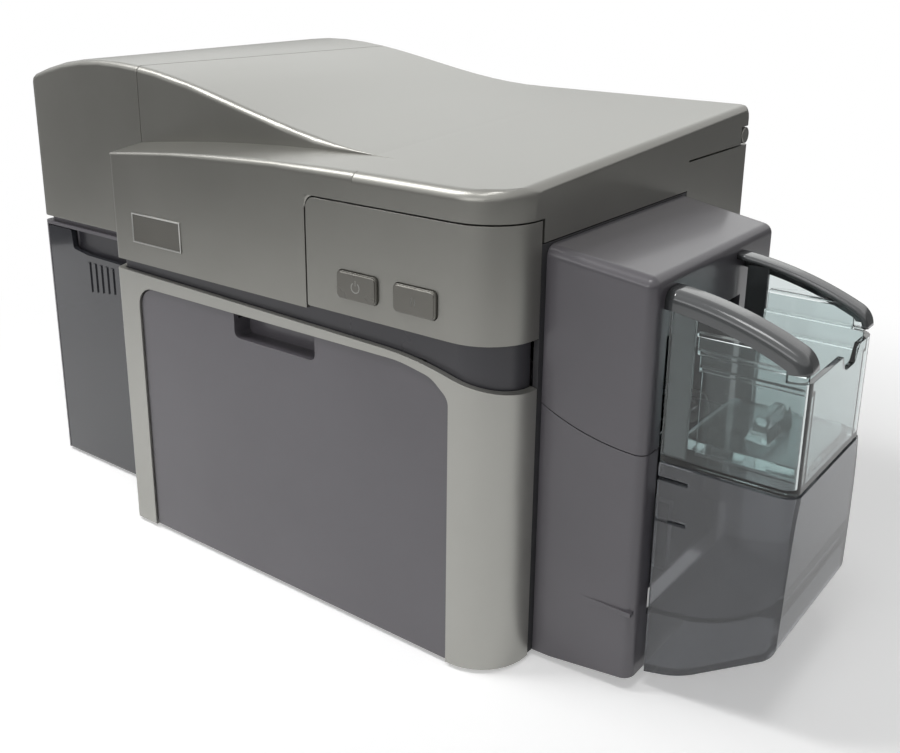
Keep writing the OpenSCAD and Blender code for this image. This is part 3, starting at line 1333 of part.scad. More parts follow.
// X-Z outline of the bin: a swept bottom and an end wall that leans in
module bin_outline(i) {
    x0 = bin_x + (i > 0 ? -5 : 0);
    polygon(rounded([[x0, bin_low + i, 0], [bin_x + 14, bin_low + 2.5 + i, 50],
        [total_w - bin_lean - i, bin_low + bin_rise + i, 9 - i], [total_w - i, bin_seam + i, 0],
        [x0, bin_seam + i, 0]], 8));
}
module bin_inside() {
    x0 = bin_x - 5;
    polygon(rounded([[x0, bin_floor, 0], [bin_x + 32, bin_floor + 3, 60],
        [total_w - bin_lean / 2 - bin_wall, bin_floor + 16, 12], [total_w - bin_wall, bin_seam + 1, 0],
        [x0, bin_seam + 1, 0]], 8));
}
tab_z = [83, 101];
tab_len = 13;
module output_bin() {
    color([0.4, 0.42, 0.44, 0.6]) home() {
        bin_shell();
        // Hooks that hold the bin in the housing
        both_sides() {
            box([housing_x - 7, bin_d / 2 - 6.5, 60], [bin_x + 5, bin_d / 2 - 4.6, 90]);
            box([bin_x, bin_d / 2 - 6.5, 60], [bin_x + 5, bin_d / 2 - 1, 90]);
        }
    }
}
module bin_shell() {
    difference() {
        intersection() {
            along_y(hopper_y - 1, hopper_y1 + 1) bin_outline(0);
            along_z(0, bin_seam - seam / 2) bin_plan(0);
        }
        intersection() {
            along_y(hopper_y + bin_wall, hopper_y1 - bin_wall) bin_inside();
            along_z(0, bin_seam + 5) bin_plan(bin_wall);
        }
        // The hollow between the inner floor and the skin
        intersection() {
            along_y(hopper_y + bin_wall, hopper_y1 - bin_wall) difference() {
                bin_outline(bin_wall);
                translate([0, -bin_wall]) bin_inside();
                translate([0, bin_floor + 8]) square([total_w, 200]);
            }
            along_z(0, bin_seam) bin_plan(bin_wall);
        }
        // Slots that free the snap tab
        for (z = tab_z) box([bin_x - 1, hopper_y - 1, z - 0.9],
            [bin_x + tab_len, hopper_y + bin_wall + 1, z + 0.9]);
    }
}
// Screws that hold the hinge brackets to the rear cover
module case_screws() {
    color("lightgray") home() for (p = bracket_screws()) {
        rod_y(rear_y - 5, body_d - 1, p[0], p[1], screw_r);
        rod_y(body_d - head_sink, body_d - 0.1, p[0], p[1], screw_head_r);
    }
}

base_pan();
feet();
rear_cover();
right_wall();
end_cover_upper();
end_cover_lower();
front_frame();
front_fascia();
control_panel();
button_board();
power_button();
pause_button();
front_door();
front_door_pins();
left_door();
left_door_pins();
top_cover();
lid_liner();
hinge_leaf();
hinge_brackets();
hinge_pins();
printhead_bracket();
printhead();
engine_plate_front();
engine_plate_rear();
tie_bars();
shaft_bushes();
platen_roller();
platen_gear();
infeed_roller();
infeed_gear();
outfeed_roller();
outfeed_gear();
pinch_roller_right();
pinch_roller_left();
cleaning_roller();
large_idler();
small_idler();
idler_studs();
feed_motor();
motor_pinion();
card_guides();
ribbon_frame();
supply_spool();
takeup_spool();
takeup_motor();
main_board();
power_inlet();
data_ports();
housing_upper();
housing_lower();
feeder_frame();
pick_roller();
input_hopper();
hopper_rails();
card_weight();
output_bin();
case_screws();
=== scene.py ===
# %% [markdown]
# # A desktop card printer, dressed in Blender
# The construction was made first, in real sizes, and packed as a fixed frame. This lesson loads
# that frame, hides the plain covers behind copies with rounded edges, gives every piece a
# finish made of nodes, and sets up a small photo studio around it.

# %% Load the frame
import json
import math

import bmesh
import bpy
from mathutils import Matrix, Quaternion, Vector


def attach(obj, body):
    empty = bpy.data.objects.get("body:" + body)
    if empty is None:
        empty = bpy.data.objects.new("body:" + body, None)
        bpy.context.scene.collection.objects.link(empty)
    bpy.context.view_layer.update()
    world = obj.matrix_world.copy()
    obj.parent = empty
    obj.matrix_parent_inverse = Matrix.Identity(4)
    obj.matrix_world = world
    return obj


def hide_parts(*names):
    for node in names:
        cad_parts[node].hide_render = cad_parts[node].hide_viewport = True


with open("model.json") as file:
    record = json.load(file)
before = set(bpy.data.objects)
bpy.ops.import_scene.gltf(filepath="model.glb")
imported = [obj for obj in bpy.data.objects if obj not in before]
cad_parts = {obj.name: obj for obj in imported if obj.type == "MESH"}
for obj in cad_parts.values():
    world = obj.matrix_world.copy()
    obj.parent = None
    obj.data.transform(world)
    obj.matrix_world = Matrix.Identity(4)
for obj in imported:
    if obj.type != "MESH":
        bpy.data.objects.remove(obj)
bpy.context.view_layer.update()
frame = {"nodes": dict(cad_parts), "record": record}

# %% [markdown]
# ## The camera
# The photograph looks down on the right front corner from about half a metre. The place, the
# turn and the lens were fitted to points that can be found both in the picture and on the
# construction. A small lens shift stands for the picture's cropped edge.

# %% Camera
MM = 0.001
EYE = Vector((344.0, -446.1, 302.0)) * MM
YAW, PITCH, ROLL = math.radians(36.8), math.radians(17.3), math.radians(0.63)
PHOTO_WIDE = 900.0  # pixels
LENS_PIXELS = 1081.0
LENS_SHIFT = -0.0906

eye = bpy.data.cameras.new("camera")
eye.sensor_width = 36.0
eye.lens = LENS_PIXELS * eye.sensor_width / PHOTO_WIDE
eye.shift_y = LENS_SHIFT
eye.clip_start = 0.02
eye.clip_end = 30.0
camera = bpy.data.objects.new("camera", eye)
bpy.context.scene.collection.objects.link(camera)
gaze = Vector((-math.sin(YAW) * math.cos(PITCH), math.cos(YAW) * math.cos(PITCH),
               -math.sin(PITCH)))
camera.rotation_mode = "QUATERNION"
camera.rotation_quaternion = gaze.to_track_quat("-Z", "Y") @ Quaternion((0, 0, 1), ROLL)
camera.location = EYE
bpy.context.scene.camera = camera
print("lens", round(eye.lens, 1), "mm")

# %% [markdown]
# ## Node finishes
# A real moulding is never one flat colour. Each finish below starts from one shader and adds
# three things the eye looks for: a slow change of tone, a fine grain that breaks up the
# highlight, and a roughness that wanders a little. All of them read object coordinates, so
# they stay on the piece when it moves.

# %% A finish with tone, grain and sheen
GRAIN_HEIGHT = 0.4 * MM
finishes = {}


def finish(name, tone, tone2, rough, rough2, grain=900.0, depth=0.05, patch=14.0, **sockets):
    """Adds a finish: two tones, a roughness between two values and a fine bump."""
    material = bpy.data.materials.new(name)
    material.use_nodes = True
    nodes, links = material.node_tree.nodes, material.node_tree.links
    shader = nodes["Principled BSDF"]
    place = nodes.new("ShaderNodeTexCoord")

    slow = nodes.new("ShaderNodeTexNoise")
    slow.inputs["Scale"].default_value = patch
    slow.inputs["Detail"].default_value = 5.0
    ramp = nodes.new("ShaderNodeValToRGB")
    ramp.color_ramp.elements[0].color = (*tone, 1.0)
    ramp.color_ramp.elements[1].color = (*tone2, 1.0)
    ramp.color_ramp.elements[0].position = 0.32
    ramp.color_ramp.elements[1].position = 0.68
    links.new(place.outputs["Object"], slow.inputs["Vector"])
    links.new(slow.outputs["Fac"], ramp.inputs["Fac"])
    links.new(ramp.outputs["Color"], shader.inputs["Base Color"])

    fine = nodes.new("ShaderNodeTexNoise")
    fine.inputs["Scale"].default_value = grain
    fine.inputs["Detail"].default_value = 2.0
    spread = nodes.new("ShaderNodeMapRange")
    spread.inputs["To Min"].default_value = rough
    spread.inputs["To Max"].default_value = rough2
    bump = nodes.new("ShaderNodeBump")
    bump.inputs["Strength"].default_value = depth
    bump.inputs["Distance"].default_value = GRAIN_HEIGHT
    links.new(place.outputs["Object"], fine.inputs["Vector"])
    links.new(slow.outputs["Fac"], spread.inputs["Value"])
    links.new(spread.outputs["Result"], shader.inputs["Roughness"])
    links.new(fine.outputs["Fac"], bump.inputs["Height"])
    links.new(bump.outputs["Normal"], shader.inputs["Normal"])
    for socket, value in sockets.items():
        shader.inputs[socket.replace("_", " ")].default_value = value
    finishes[name] = material


# %% [markdown]
# ## Painted and moulded covers
# The covers are plastic with a satin metallic paint. Up close such paint is a fine salt and
# pepper of flakes, so its grain is finer and its tone change smaller than on a moulding.

# %% Finishes of the covers
finish("cover_paint", (0.262, 0.259, 0.238), (0.285, 0.281, 0.26), 0.3, 0.38, grain=2600.0,
       depth=0.06, Metallic=0.8, Coat_Weight=0.12, Coat_Roughness=0.25)
finish("frame_paint", (0.36, 0.358, 0.333), (0.39, 0.387, 0.362), 0.3, 0.38, grain=2600.0,
       depth=0.06, Metallic=0.75, Coat_Weight=0.12, Coat_Roughness=0.25)
finish("panel_dark", (0.09, 0.084, 0.095), (0.102, 0.096, 0.108), 0.32, 0.4, grain=1500.0,
       depth=0.12, Coat_Weight=0.4, Coat_Roughness=0.12)
finish("band_dark", (0.038, 0.037, 0.043), (0.046, 0.045, 0.052), 0.24, 0.32, grain=1500.0,
       depth=0.05)
finish("button_grey", (0.125, 0.12, 0.106), (0.145, 0.14, 0.124), 0.24, 0.32, grain=2000.0,
       depth=0.05, Metallic=0.5, Coat_Weight=0.3, Coat_Roughness=0.2)
finish("smoke_door", (0.02, 0.021, 0.026), (0.03, 0.031, 0.037), 0.08, 0.14, grain=300.0,
       depth=0.02, Coat_Weight=0.5, Coat_Roughness=0.04)
finish("inner_black", (0.018, 0.018, 0.02), (0.028, 0.028, 0.031), 0.5, 0.65, grain=1100.0,
       depth=0.25)
finish("rail_smoke", (0.06, 0.064, 0.066), (0.075, 0.079, 0.081), 0.2, 0.26, grain=400.0,
       depth=0.02, Coat_Weight=0.6, Coat_Roughness=0.1)

# %% [markdown]
# ## Clear mouldings
# The hopper is nearly clear and the bin under it is smoked. Both are real walls of 2.4 mm, so
# light passes two faces of each, and the tint is set on the shader's own colour.

# %% Finishes of the clear pieces
finish("clear_smoke", (0.7, 0.76, 0.76), (0.74, 0.79, 0.79), 0.03, 0.07, grain=60.0, depth=0.01,
       Transmission_Weight=1.0, IOR=1.46)
finish("dark_smoke", (0.33, 0.34, 0.36), (0.37, 0.38, 0.4), 0.08, 0.14, grain=60.0, depth=0.01,
       Transmission_Weight=0.85, IOR=1.46)

# %% [markdown]
# ## Metals, rubber and boards
# Rolled steel shows fine lines along its length, turned brass is smoother and warmer, and
# rubber has a powdery face. The boards carry a green lacquer over copper tracks, so their tone
# changes within a few millimetres. Here each gets its own grain, depth and roughness.

# %% Finishes of the inner pieces
finish("steel", (0.5, 0.51, 0.52), (0.58, 0.59, 0.6), 0.25, 0.4, grain=500.0, depth=0.08,
       Metallic=1.0)
finish("bright_steel", (0.62, 0.62, 0.63), (0.7, 0.7, 0.71), 0.14, 0.22, grain=500.0,
       depth=0.03, Metallic=1.0)
finish("aluminium", (0.6, 0.6, 0.61), (0.66, 0.66, 0.67), 0.3, 0.42, grain=700.0, depth=0.08,
       Metallic=1.0)
finish("brass", (0.62, 0.44, 0.18), (0.7, 0.52, 0.24), 0.22, 0.34, grain=500.0, depth=0.05,
       Metallic=1.0)
finish("motor_black", (0.035, 0.035, 0.037), (0.05, 0.05, 0.052), 0.35, 0.5, grain=600.0,
       depth=0.12, Metallic=0.3)
finish("rubber", (0.018, 0.018, 0.018), (0.028, 0.028, 0.028), 0.65, 0.8, grain=1600.0,
       depth=0.3)
finish("foot_rubber", (0.02, 0.02, 0.02), (0.03, 0.03, 0.03), 0.7, 0.85, grain=1300.0,
       depth=0.35)
finish("grey_rubber", (0.1, 0.1, 0.105), (0.13, 0.13, 0.135), 0.6, 0.75, grain=1600.0,
       depth=0.25)
finish("cleaning_blue", (0.06, 0.2, 0.42), (0.08, 0.25, 0.48), 0.3, 0.45, grain=900.0,
       depth=0.1)
finish("gear_nylon", (0.62, 0.6, 0.5), (0.68, 0.66, 0.56), 0.35, 0.45, grain=800.0, depth=0.08)
finish("circuit_green", (0.01, 0.08, 0.03), (0.015, 0.12, 0.05), 0.25, 0.4, grain=700.0,
       depth=0.2, patch=160.0)
finish("ribbon_core", (0.03, 0.025, 0.035), (0.05, 0.045, 0.055), 0.25, 0.35, grain=900.0,
       depth=0.05)
finish("cartridge_blue", (0.09, 0.13, 0.19), (0.11, 0.16, 0.22), 0.35, 0.45, grain=1000.0,
       depth=0.12)
print(len(finishes), "finishes")

# %% [markdown]
# Every node of the frame gets the finish of its slot in the record, so nothing is left plain,
# also where a cover hides it. Two shown copies look different from their slot: the lower left
# cover is the dark moulding that the photograph has there, and the card weight is clear.

# %% Finishes on the frame's own nodes
for part in frame["record"]["subparts"]:
    node = frame["nodes"][part["node"]]
    node.data.materials.clear()
    node.data.materials.append(finishes[part["material_slot"]])
slot_of = {part["node"]: part["material_slot"] for part in frame["record"]["subparts"]}
look_of = dict(slot_of, end_cover_lower="panel_dark", card_weight="clear_smoke")
body_of = {name: body for body, names in frame["record"]["behaviour"]["bodies"].items()
           for name in names}
print(len(slot_of), "nodes painted")

# %% [markdown]
# ## Covers with soft edges
# A moulding has no knife edges: the light always catches a thin round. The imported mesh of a
# cover is loose triangles, so a copy is merged, its flat facets are joined into whole faces,
# and a Bevel modifier rounds what is left sharp. Weighted normals then keep the big faces
# calm while the rounds turn smoothly.
#
# The output bin is also reshaped on the way: its end wall stands more upright and its bottom
# sweeps up more than in the construction, as the photograph shows it. The left door keeps its
# facets, because ribs stand on its face.


# %% The bin's own sweep, in metres
# The end wall moves out by END_OUT and is upright from END_UPRIGHT_AT of the way down. The bottom
# rises by SWEEP_UP at the end wall and sinks by INNER_DOWN next to the housing.
BIN_IN, BIN_END, BIN_LOW, BIN_SEAM = 0.1735, 0.23, 0.011, 0.1078
END_OUT, END_UPRIGHT_AT = 0.0055, 0.8
SWEEP_UP, INNER_DOWN = 0.014, 0.003


def share(part, whole):
    """How much of the whole the part is, from 0 to 1."""
    return min(1.0, max(0.0, part / whole))


def bin_sweep(place):
    """Moves a point of the bin: the end wall is set upright and the bottom sweeps up more."""
    along = share(place.x - BIN_IN, BIN_END - BIN_IN)
    down = share(BIN_SEAM - place.z, BIN_SEAM - BIN_LOW)
    upright = share(down, END_UPRIGHT_AT)
    return Vector((place.x + END_OUT * upright * along, place.y,
                   place.z + (SWEEP_UP * along ** 2 - INNER_DOWN * (1 - along)) * down))


RESHAPED = {"output_bin": bin_sweep}

# %% How far a copy is merged, in millimetres, and what stays apart
MERGE = 0.01
# The swept covers are slices 0.1 mm apart, which are welded before their edges are rounded
WELD = {"top_cover": 0.16, "end_cover_upper": 0.16}
FLAT_WITHIN = math.radians(0.6)
# A face with ribs standing on it isn't joined into one, or its round edges fold over
KEPT_FACETS = {"left_door"}


# %% The upright edge at the brow's left end
BROW_END = (-119.0 * MM, -116.1 * MM)
BROW_ROUND = 2.0 * MM
NEAR = 0.6 * MM
SHORTEST = 5.0 * MM


def round_brow(work):
    """Gives the upright edge at the brow's left end a wider round than the Bevel's."""
    upright = [edge for edge in work.edges
               if all(abs(vert.co.x - BROW_END[0]) < NEAR and abs(vert.co.y - BROW_END[1]) < NEAR
                      for vert in edge.verts)
               and abs(edge.verts[0].co.z - edge.verts[1].co.z) > SHORTEST]
    bmesh.ops.bevel(work, geom=upright, offset=BROW_ROUND, offset_type="OFFSET", segments=5,
                    profile=0.5, affect="EDGES", material=-1)
    print("brow edges rounded:", len(upright))


# %% An object from a finished bmesh
def shown_piece(name, work, paints, body):
    """Makes the bmesh an object with its finishes, which rides a body."""
    mesh = bpy.data.meshes.new(name)
    work.to_mesh(mesh)
    work.free()
    for paint in paints:
        mesh.materials.append(finishes[paint])
    piece = bpy.data.objects.new(name, mesh)
    bpy.context.scene.collection.objects.link(piece)
    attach(piece, body)
    return piece


# %% A dressed copy of a node
CREASE = math.radians(32.0)
BIG_FACES_WEIGH = 60


def dress(name, edge):
    """A copy of a node with its edges rounded by edge millimetres, shown in its place."""
    work = bmesh.new()
    work.from_mesh(frame["nodes"][name].data)
    bmesh.ops.remove_doubles(work, verts=work.verts, dist=WELD.get(name, MERGE) * MM)
    if name in RESHAPED:
        for vert in work.verts:
            vert.co = RESHAPED[name](vert.co)
    if name not in KEPT_FACETS:
        bmesh.ops.dissolve_limit(work, angle_limit=FLAT_WITHIN, verts=work.verts,
                                 edges=work.edges, delimit=set())
    if name == "top_cover":
        round_brow(work)
    for face in work.faces:
        face.smooth = True
    shown = shown_piece("shown_" + name, work, [look_of[name]], body_of[name])
    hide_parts(name)
    round_off = shown.modifiers.new("round_edges", "BEVEL")
    round_off.width = edge * MM
    round_off.segments = 2
    round_off.profile = 0.5
    round_off.limit_method = "ANGLE"
    round_off.angle_limit = CREASE
    round_off.use_clamp_overlap = True
    round_off.miter_outer = "MITER_ARC"
    calm = shown.modifiers.new("calm_faces", "WEIGHTED_NORMAL")
    calm.weight = BIG_FACES_WEIGH
    calm.keep_sharp = False


# %% Dress the covers
# The width of each cover's round edges in millimetres
SOFT_EDGES = {
    "top_cover": 1.0, "end_cover_upper": 0.5, "end_cover_lower": 0.4, "rear_cover": 0.4,
    "control_panel": 0.4, "front_frame": 0.5, "front_fascia": 0.3, "front_door": 0.4,
    "left_door": 0.4, "power_button": 0.5, "pause_button": 0.5, "housing_upper": 0.4,
    "housing_lower": 0.4, "right_wall": 0.2, "input_hopper": 0.3,
    "output_bin": 0.3, "card_weight": 0.5, "lid_liner": 0.3, "hinge_brackets": 0.3,
}
for name, edge in SOFT_EDGES.items():
    dress(name, edge)
print(len(SOFT_EDGES), "covers dressed")

# %% [markdown]
# ## Small pieces the printer wears
# A bare plate sits where a maker would put a badge, with a thin rim and no words. A cap closes
# the end of the lid's hinge, and a dark lining shows through the step of the left door. The
# plate and the lining start from one face that is raised and inset, because the rim is what
# catches light. The cap starts from a short drum whose edges are rounded.


# %% Helpers for placed pieces
FACE_UP_TO_FRONT = Matrix.Rotation(math.radians(90), 4, "X")
RIM_EDGE, RIM_HIGH = 0.12 * MM, 0.1 * MM
SINK_SLOPE = 0.1 * MM


def place_piece(name, work, body, paints, smooth=True):
    """Turns the bmesh's faces outwards and shows it, with flat faces unless smooth."""
    bmesh.ops.recalc_face_normals(work, faces=work.faces)
    for face in work.faces:
        face.smooth = smooth
    piece = shown_piece(name, work, paints, body)
    calm = piece.modifiers.new("calm_faces", "WEIGHTED_NORMAL")
    calm.keep_sharp = False
    return piece


def move_to_front(work, place):
    """Stands a piece from the X-Y plane upright, facing the front, at a place in millimetres."""
    bmesh.ops.transform(work, verts=work.verts,
                        matrix=Matrix.Translation(Vector(place) * MM) @ FACE_UP_TO_FRONT)


def only(kind, made):
    """The vertices or faces among what an operator made."""
    return [item for item in made if isinstance(item, kind)]


def raised_plate(wide, high, thick, rim, sink):
    """A plate in the X-Y plane with a rim round a sunk middle, in millimetres."""
    work = bmesh.new()
    made = bmesh.ops.create_grid(work, x_segments=1, y_segments=1, size=0.5)["verts"]
    bmesh.ops.scale(work, vec=(wide * MM, high * MM, 1), verts=made)
    made = bmesh.ops.extrude_face_region(work, geom=work.faces[:], use_keep_orig=True)["geom"]
    front = only(bmesh.types.BMFace, made)
    bmesh.ops.translate(work, vec=(0, 0, thick * MM),
                        verts=list({vert for face in front for vert in face.verts}))
    bmesh.ops.recalc_face_normals(work, faces=work.faces)
    bmesh.ops.inset_region(work, faces=front, thickness=RIM_EDGE, depth=RIM_HIGH)
    bmesh.ops.inset_region(work, faces=front, thickness=rim * MM, depth=0.0)
    bmesh.ops.inset_region(work, faces=front, thickness=SINK_SLOPE, depth=-sink * MM)
    for face in front:
        face.material_index = 1
    return work


# %% Badge plate
finish("badge_rim", (0.5, 0.5, 0.48), (0.55, 0.55, 0.53), 0.25, 0.32, grain=1500.0, depth=0.03,
       Metallic=0.8)
work = raised_plate(wide=37.0, high=15.4, thick=0.5, rim=0.9, sink=0.25)
move_to_front(work, (-85.5, -116.0, 170.4))
place_piece("badge_plate", work, "lid", ("badge_rim", "button_grey"), False)
print("badge plate placed")

# %% Hinge cap
CAP_RADIUS, CAP_LONG, CAP_ROUND = 4.4 * MM, 3.0 * MM, 0.5 * MM
HINGE_END = Vector((121.4, 112.9, 213.0)) * MM
work = bmesh.new()
bmesh.ops.create_cone(work, cap_ends=True, segments=40, radius1=CAP_RADIUS, radius2=CAP_RADIUS,
                      depth=CAP_LONG)
bmesh.ops.bevel(work, geom=work.edges[:], offset=CAP_ROUND, offset_type="OFFSET", segments=3,
                profile=0.5, affect="EDGES", material=-1)
bmesh.ops.transform(work, verts=work.verts, matrix=Matrix.Translation(HINGE_END)
                    @ Matrix.Rotation(math.radians(90), 4, "Y"))
place_piece("hinge_cap", work, "lid", ("cover_paint",))
print("hinge cap placed")

# %% Lining behind the left door's step
work = raised_plate(wide=69.0, high=21.0, thick=1.2, rim=2.0, sink=0.6)
move_to_front(work, (-169.6, -80.9, 140.0))
place_piece("left_lining", work, "base", ("panel_dark", "band_dark"), False)
print("lining placed")

# %% [markdown]
# The control panel has a round corner, but the opening in the lid is square there. This small
# web fills the corner, so that the seam runs round it with an even width. A quarter circle is
# spun from one point, closed by the square corner and given its thickness.

# %% Web in the panel's corner
WEB_RADIUS, WEB_THICK = 5.8 * MM, 2.4 * MM
work = bmesh.new()
start = work.verts.new((-WEB_RADIUS, 0, 0))
bmesh.ops.spin(work, geom=[start], cent=(0, 0, 0), axis=(0, 0, -1), angle=math.radians(90),
               steps=10, use_merge=False)
outline = sorted(work.verts, key=lambda vert: vert.co.x)
tip = work.verts.new((-WEB_RADIUS, WEB_RADIUS, 0))
web = work.faces.new(outline + [tip])
raised = bmesh.ops.extrude_face_region(work, geom=[web], use_keep_orig=True)["geom"]
bmesh.ops.translate(work, vec=(0, 0, -WEB_THICK), verts=only(bmesh.types.BMVert, raised))
move_to_front(work, (22.9, -116.1, 198.0))
place_piece("panel_corner_web", work, "lid", ("cover_paint",))
print("corner web placed")

# %% [markdown]
# ## The hopper's rails
# On the real hopper the rails look like the fenders of a car: a wide band that arches down, with
# a fat round on its outer edge and a nose where it meets the end wall. So the cross-section is
# drawn once as a chain of edges and spun twice, first about the middle of the large arch and
# then about the middle of the nose. The clear wall stays visible under the band. A leg under
# each rail reaches down into the housing, and the far rail mirrors the near one.

# %% Arch, nose and cross-section of a rail, in millimetres and degrees
ARCH_X, ARCH_Z, ARCH_R = 158.0, 26.05, 155.0
NOSE_R = 10.0
RAIL_START, RAIL_TURN, RAIL_STOP = 4.9, 25.2, 86.0
RAIL_OUT, RAIL_IN, RAIL_SKIRT, RAIL_THICK = 40.5, 28.5, 8.0, 2.6
RAIL_ROUND, ROUND_STEPS = 4.6, 6
LEG_SIZE, LEG_AT, LEG_ROUND = (9.7, 2.1, 63.7), (178.65, 36.35, 142.65), 0.4
CARD_LINE = -34.8


def rail_section(work):
    """The closed cross-section over the arch's middle, as offsets across and below the top."""
    across = [(RAIL_IN + 0.8, 0.0)]
    for k in range(ROUND_STEPS + 1):
        turn = math.radians(90.0 * k / ROUND_STEPS)
        across.append((RAIL_OUT - RAIL_ROUND + RAIL_ROUND * math.sin(turn),
                       -RAIL_ROUND + RAIL_ROUND * math.cos(turn)))
    across += [(RAIL_OUT, -RAIL_SKIRT), (RAIL_OUT - 0.5, -RAIL_SKIRT - 0.3),
               (RAIL_OUT - 2.0, -RAIL_SKIRT), (RAIL_OUT - 2.2, -RAIL_THICK - 1.5),
               (RAIL_OUT - 3.6, -RAIL_THICK), (RAIL_IN + 0.6, -RAIL_THICK),
               (RAIL_IN, -RAIL_THICK + 0.6), (RAIL_IN, -0.8)]
    ring = [work.verts.new(Vector((ARCH_X, y, ARCH_Z + ARCH_R + z)) * MM) for y, z in across]
    edges = [work.edges.new((ring[k - 1], ring[k])) for k in range(len(ring))]
    return ring, edges


# %% Spin one rail
def spin_rail(rail):
    """The band with its nose: the cross-section spun about the arch and then about the nose."""
    ring, edges = rail_section(rail)
    centre = Vector((ARCH_X, 0, ARCH_Z)) * MM
    bmesh.ops.rotate(rail, verts=ring, cent=centre,
                     matrix=Matrix.Rotation(math.radians(RAIL_START), 3, "Y"))
    rail.faces.new(ring)
    first = bmesh.ops.spin(rail, geom=ring + edges, cent=centre, axis=(0, 1, 0),
                           angle=math.radians(RAIL_TURN - RAIL_START), steps=14, use_merge=False)
    turn = math.radians(RAIL_TURN)
    nose = centre + (ARCH_R - NOSE_R) * MM * Vector((math.sin(turn), 0, math.cos(turn)))
    last = bmesh.ops.spin(rail, geom=first["geom_last"], cent=nose, axis=(0, 1, 0),
                          angle=math.radians(RAIL_STOP - RAIL_TURN), steps=10, use_merge=False)
    bmesh.ops.edgeloop_fill(rail, edges=only(bmesh.types.BMEdge, last["geom_last"]))


def add_leg(rail):
    """The leg that holds the rail in the housing, a bar with round edges."""
    leg = bmesh.ops.create_cube(rail, size=1.0)["verts"]
    bmesh.ops.scale(rail, vec=Vector(LEG_SIZE) * MM, verts=leg)
    bmesh.ops.translate(rail, vec=Vector(LEG_AT) * MM, verts=leg)
    bmesh.ops.bevel(rail, geom=list({edge for vert in leg for edge in vert.link_edges}),
                    offset=LEG_ROUND * MM, offset_type="OFFSET", segments=2, profile=0.5,
                    affect="EDGES", material=-1)


# %% Both rails
work = bmesh.new()
for side in (1, -1):
    rail = bmesh.new()
    spin_rail(rail)
    add_leg(rail)
    bmesh.ops.scale(rail, vec=(1, side, 1), verts=rail.verts)
    bmesh.ops.translate(rail, vec=(0, CARD_LINE * MM, 0), verts=rail.verts)
    bmesh.ops.recalc_face_normals(rail, faces=rail.faces)
    half = bpy.data.meshes.new("rail_half")
    rail.to_mesh(half)
    rail.free()
    work.from_mesh(half)
rails = place_piece("shown_hopper_rails", work, "base", ("rail_smoke",))
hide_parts("hopper_rails")
print("rails", len(rails.data.polygons), "faces")

# %% [markdown]
# ## Marks on the keys
# The two keys carry plain signs for power and pause: a ring with a bar, and two bars. They
# are printed, so they stand only a hair above the key.

# %% Finish and place of the marks
finish("key_print", (0.3, 0.3, 0.28), (0.34, 0.34, 0.32), 0.4, 0.5, grain=900.0, depth=0.03)
POWER = (48.0, -117.9, 167.5)
PAUSE = (79.5, -117.9, 167.5)
PRINT_THICK = 0.08 * MM


def printed(name, work, centre, body):
    """Turns a flat sign from the X-Y plane to the key's face and lets it ride there."""
    bmesh.ops.solidify(work, geom=work.faces[:], thickness=PRINT_THICK)
    move_to_front(work, centre)
    bmesh.ops.recalc_face_normals(work, faces=work.faces)
    shown_piece(name, work, ["key_print"], body)


def bar(work, x, y, wide, high):
    """A flat upright bar of a sign, by its middle and its size in millimetres."""
    made = bmesh.ops.create_grid(work, x_segments=1, y_segments=1, size=0.5)["verts"]
    bmesh.ops.scale(work, vec=(wide * MM, high * MM, 1), verts=made)
    bmesh.ops.translate(work, vec=(x * MM, y * MM, 0), verts=made)


# %% Power sign
GAP_HALF = math.radians(35)
RING_IN, RING_OUT = 2.0, 2.5
work = bmesh.new()
ray = Vector((math.sin(GAP_HALF), math.cos(GAP_HALF), 0)) * MM
start, end = work.verts.new(ray * RING_IN), work.verts.new(ray * RING_OUT)
arm = work.edges.new((start, end))
bmesh.ops.spin(work, geom=[start, end, arm], cent=(0, 0, 0), axis=(0, 0, -1),
               angle=math.radians(360) - 2 * GAP_HALF, steps=24, use_merge=False)
bar(work, 0, y=2.0, wide=0.5, high=2.4)
printed("power_sign", work, POWER, "power_key")
print("power sign printed")

# %% Pause sign
work = bmesh.new()
for x in (-0.9, 0.9):
    bar(work, x, y=0, wide=0.6, high=3.4)
printed("pause_sign", work, PAUSE, "pause_key")
print("pause sign printed")

# %% [markdown]
# ## The studio
# The photograph was taken on a white sweep. Satin metallic paint shows mostly what it mirrors,
# so the world and the far floor are plain white to the camera, to reflections and through
# clear plastic, while the world lights the piece only softly. Near the printer the floor is an
# ordinary pale surface, so it keeps the shadow.


# %% Rays that see the white sweep
def seeing_rays(nodes, links):
    """A socket that is 1 for camera, mirror and see-through rays and 0 for diffuse light."""
    ray = nodes.new("ShaderNodeLightPath")
    total = ray.outputs["Is Camera Ray"]
    for kind in ("Is Glossy Ray", "Is Transmission Ray"):
        add = nodes.new("ShaderNodeMath")
        add.operation = "MAXIMUM"
        links.new(total, add.inputs[0])
        links.new(ray.outputs[kind], add.inputs[1])
        total = add.outputs["Value"]
    return total


# %% Floor sheet
FLOOR_HALF = 6.0
floor_mesh = bpy.data.meshes.new("floor")
work = bmesh.new()
bmesh.ops.create_grid(work, x_segments=1, y_segments=1, size=FLOOR_HALF)
work.to_mesh(floor_mesh)
work.free()
floor = bpy.data.objects.new("floor", floor_mesh)
bpy.context.scene.collection.objects.link(floor)
print("floor", 2 * FLOOR_HALF, "m wide")

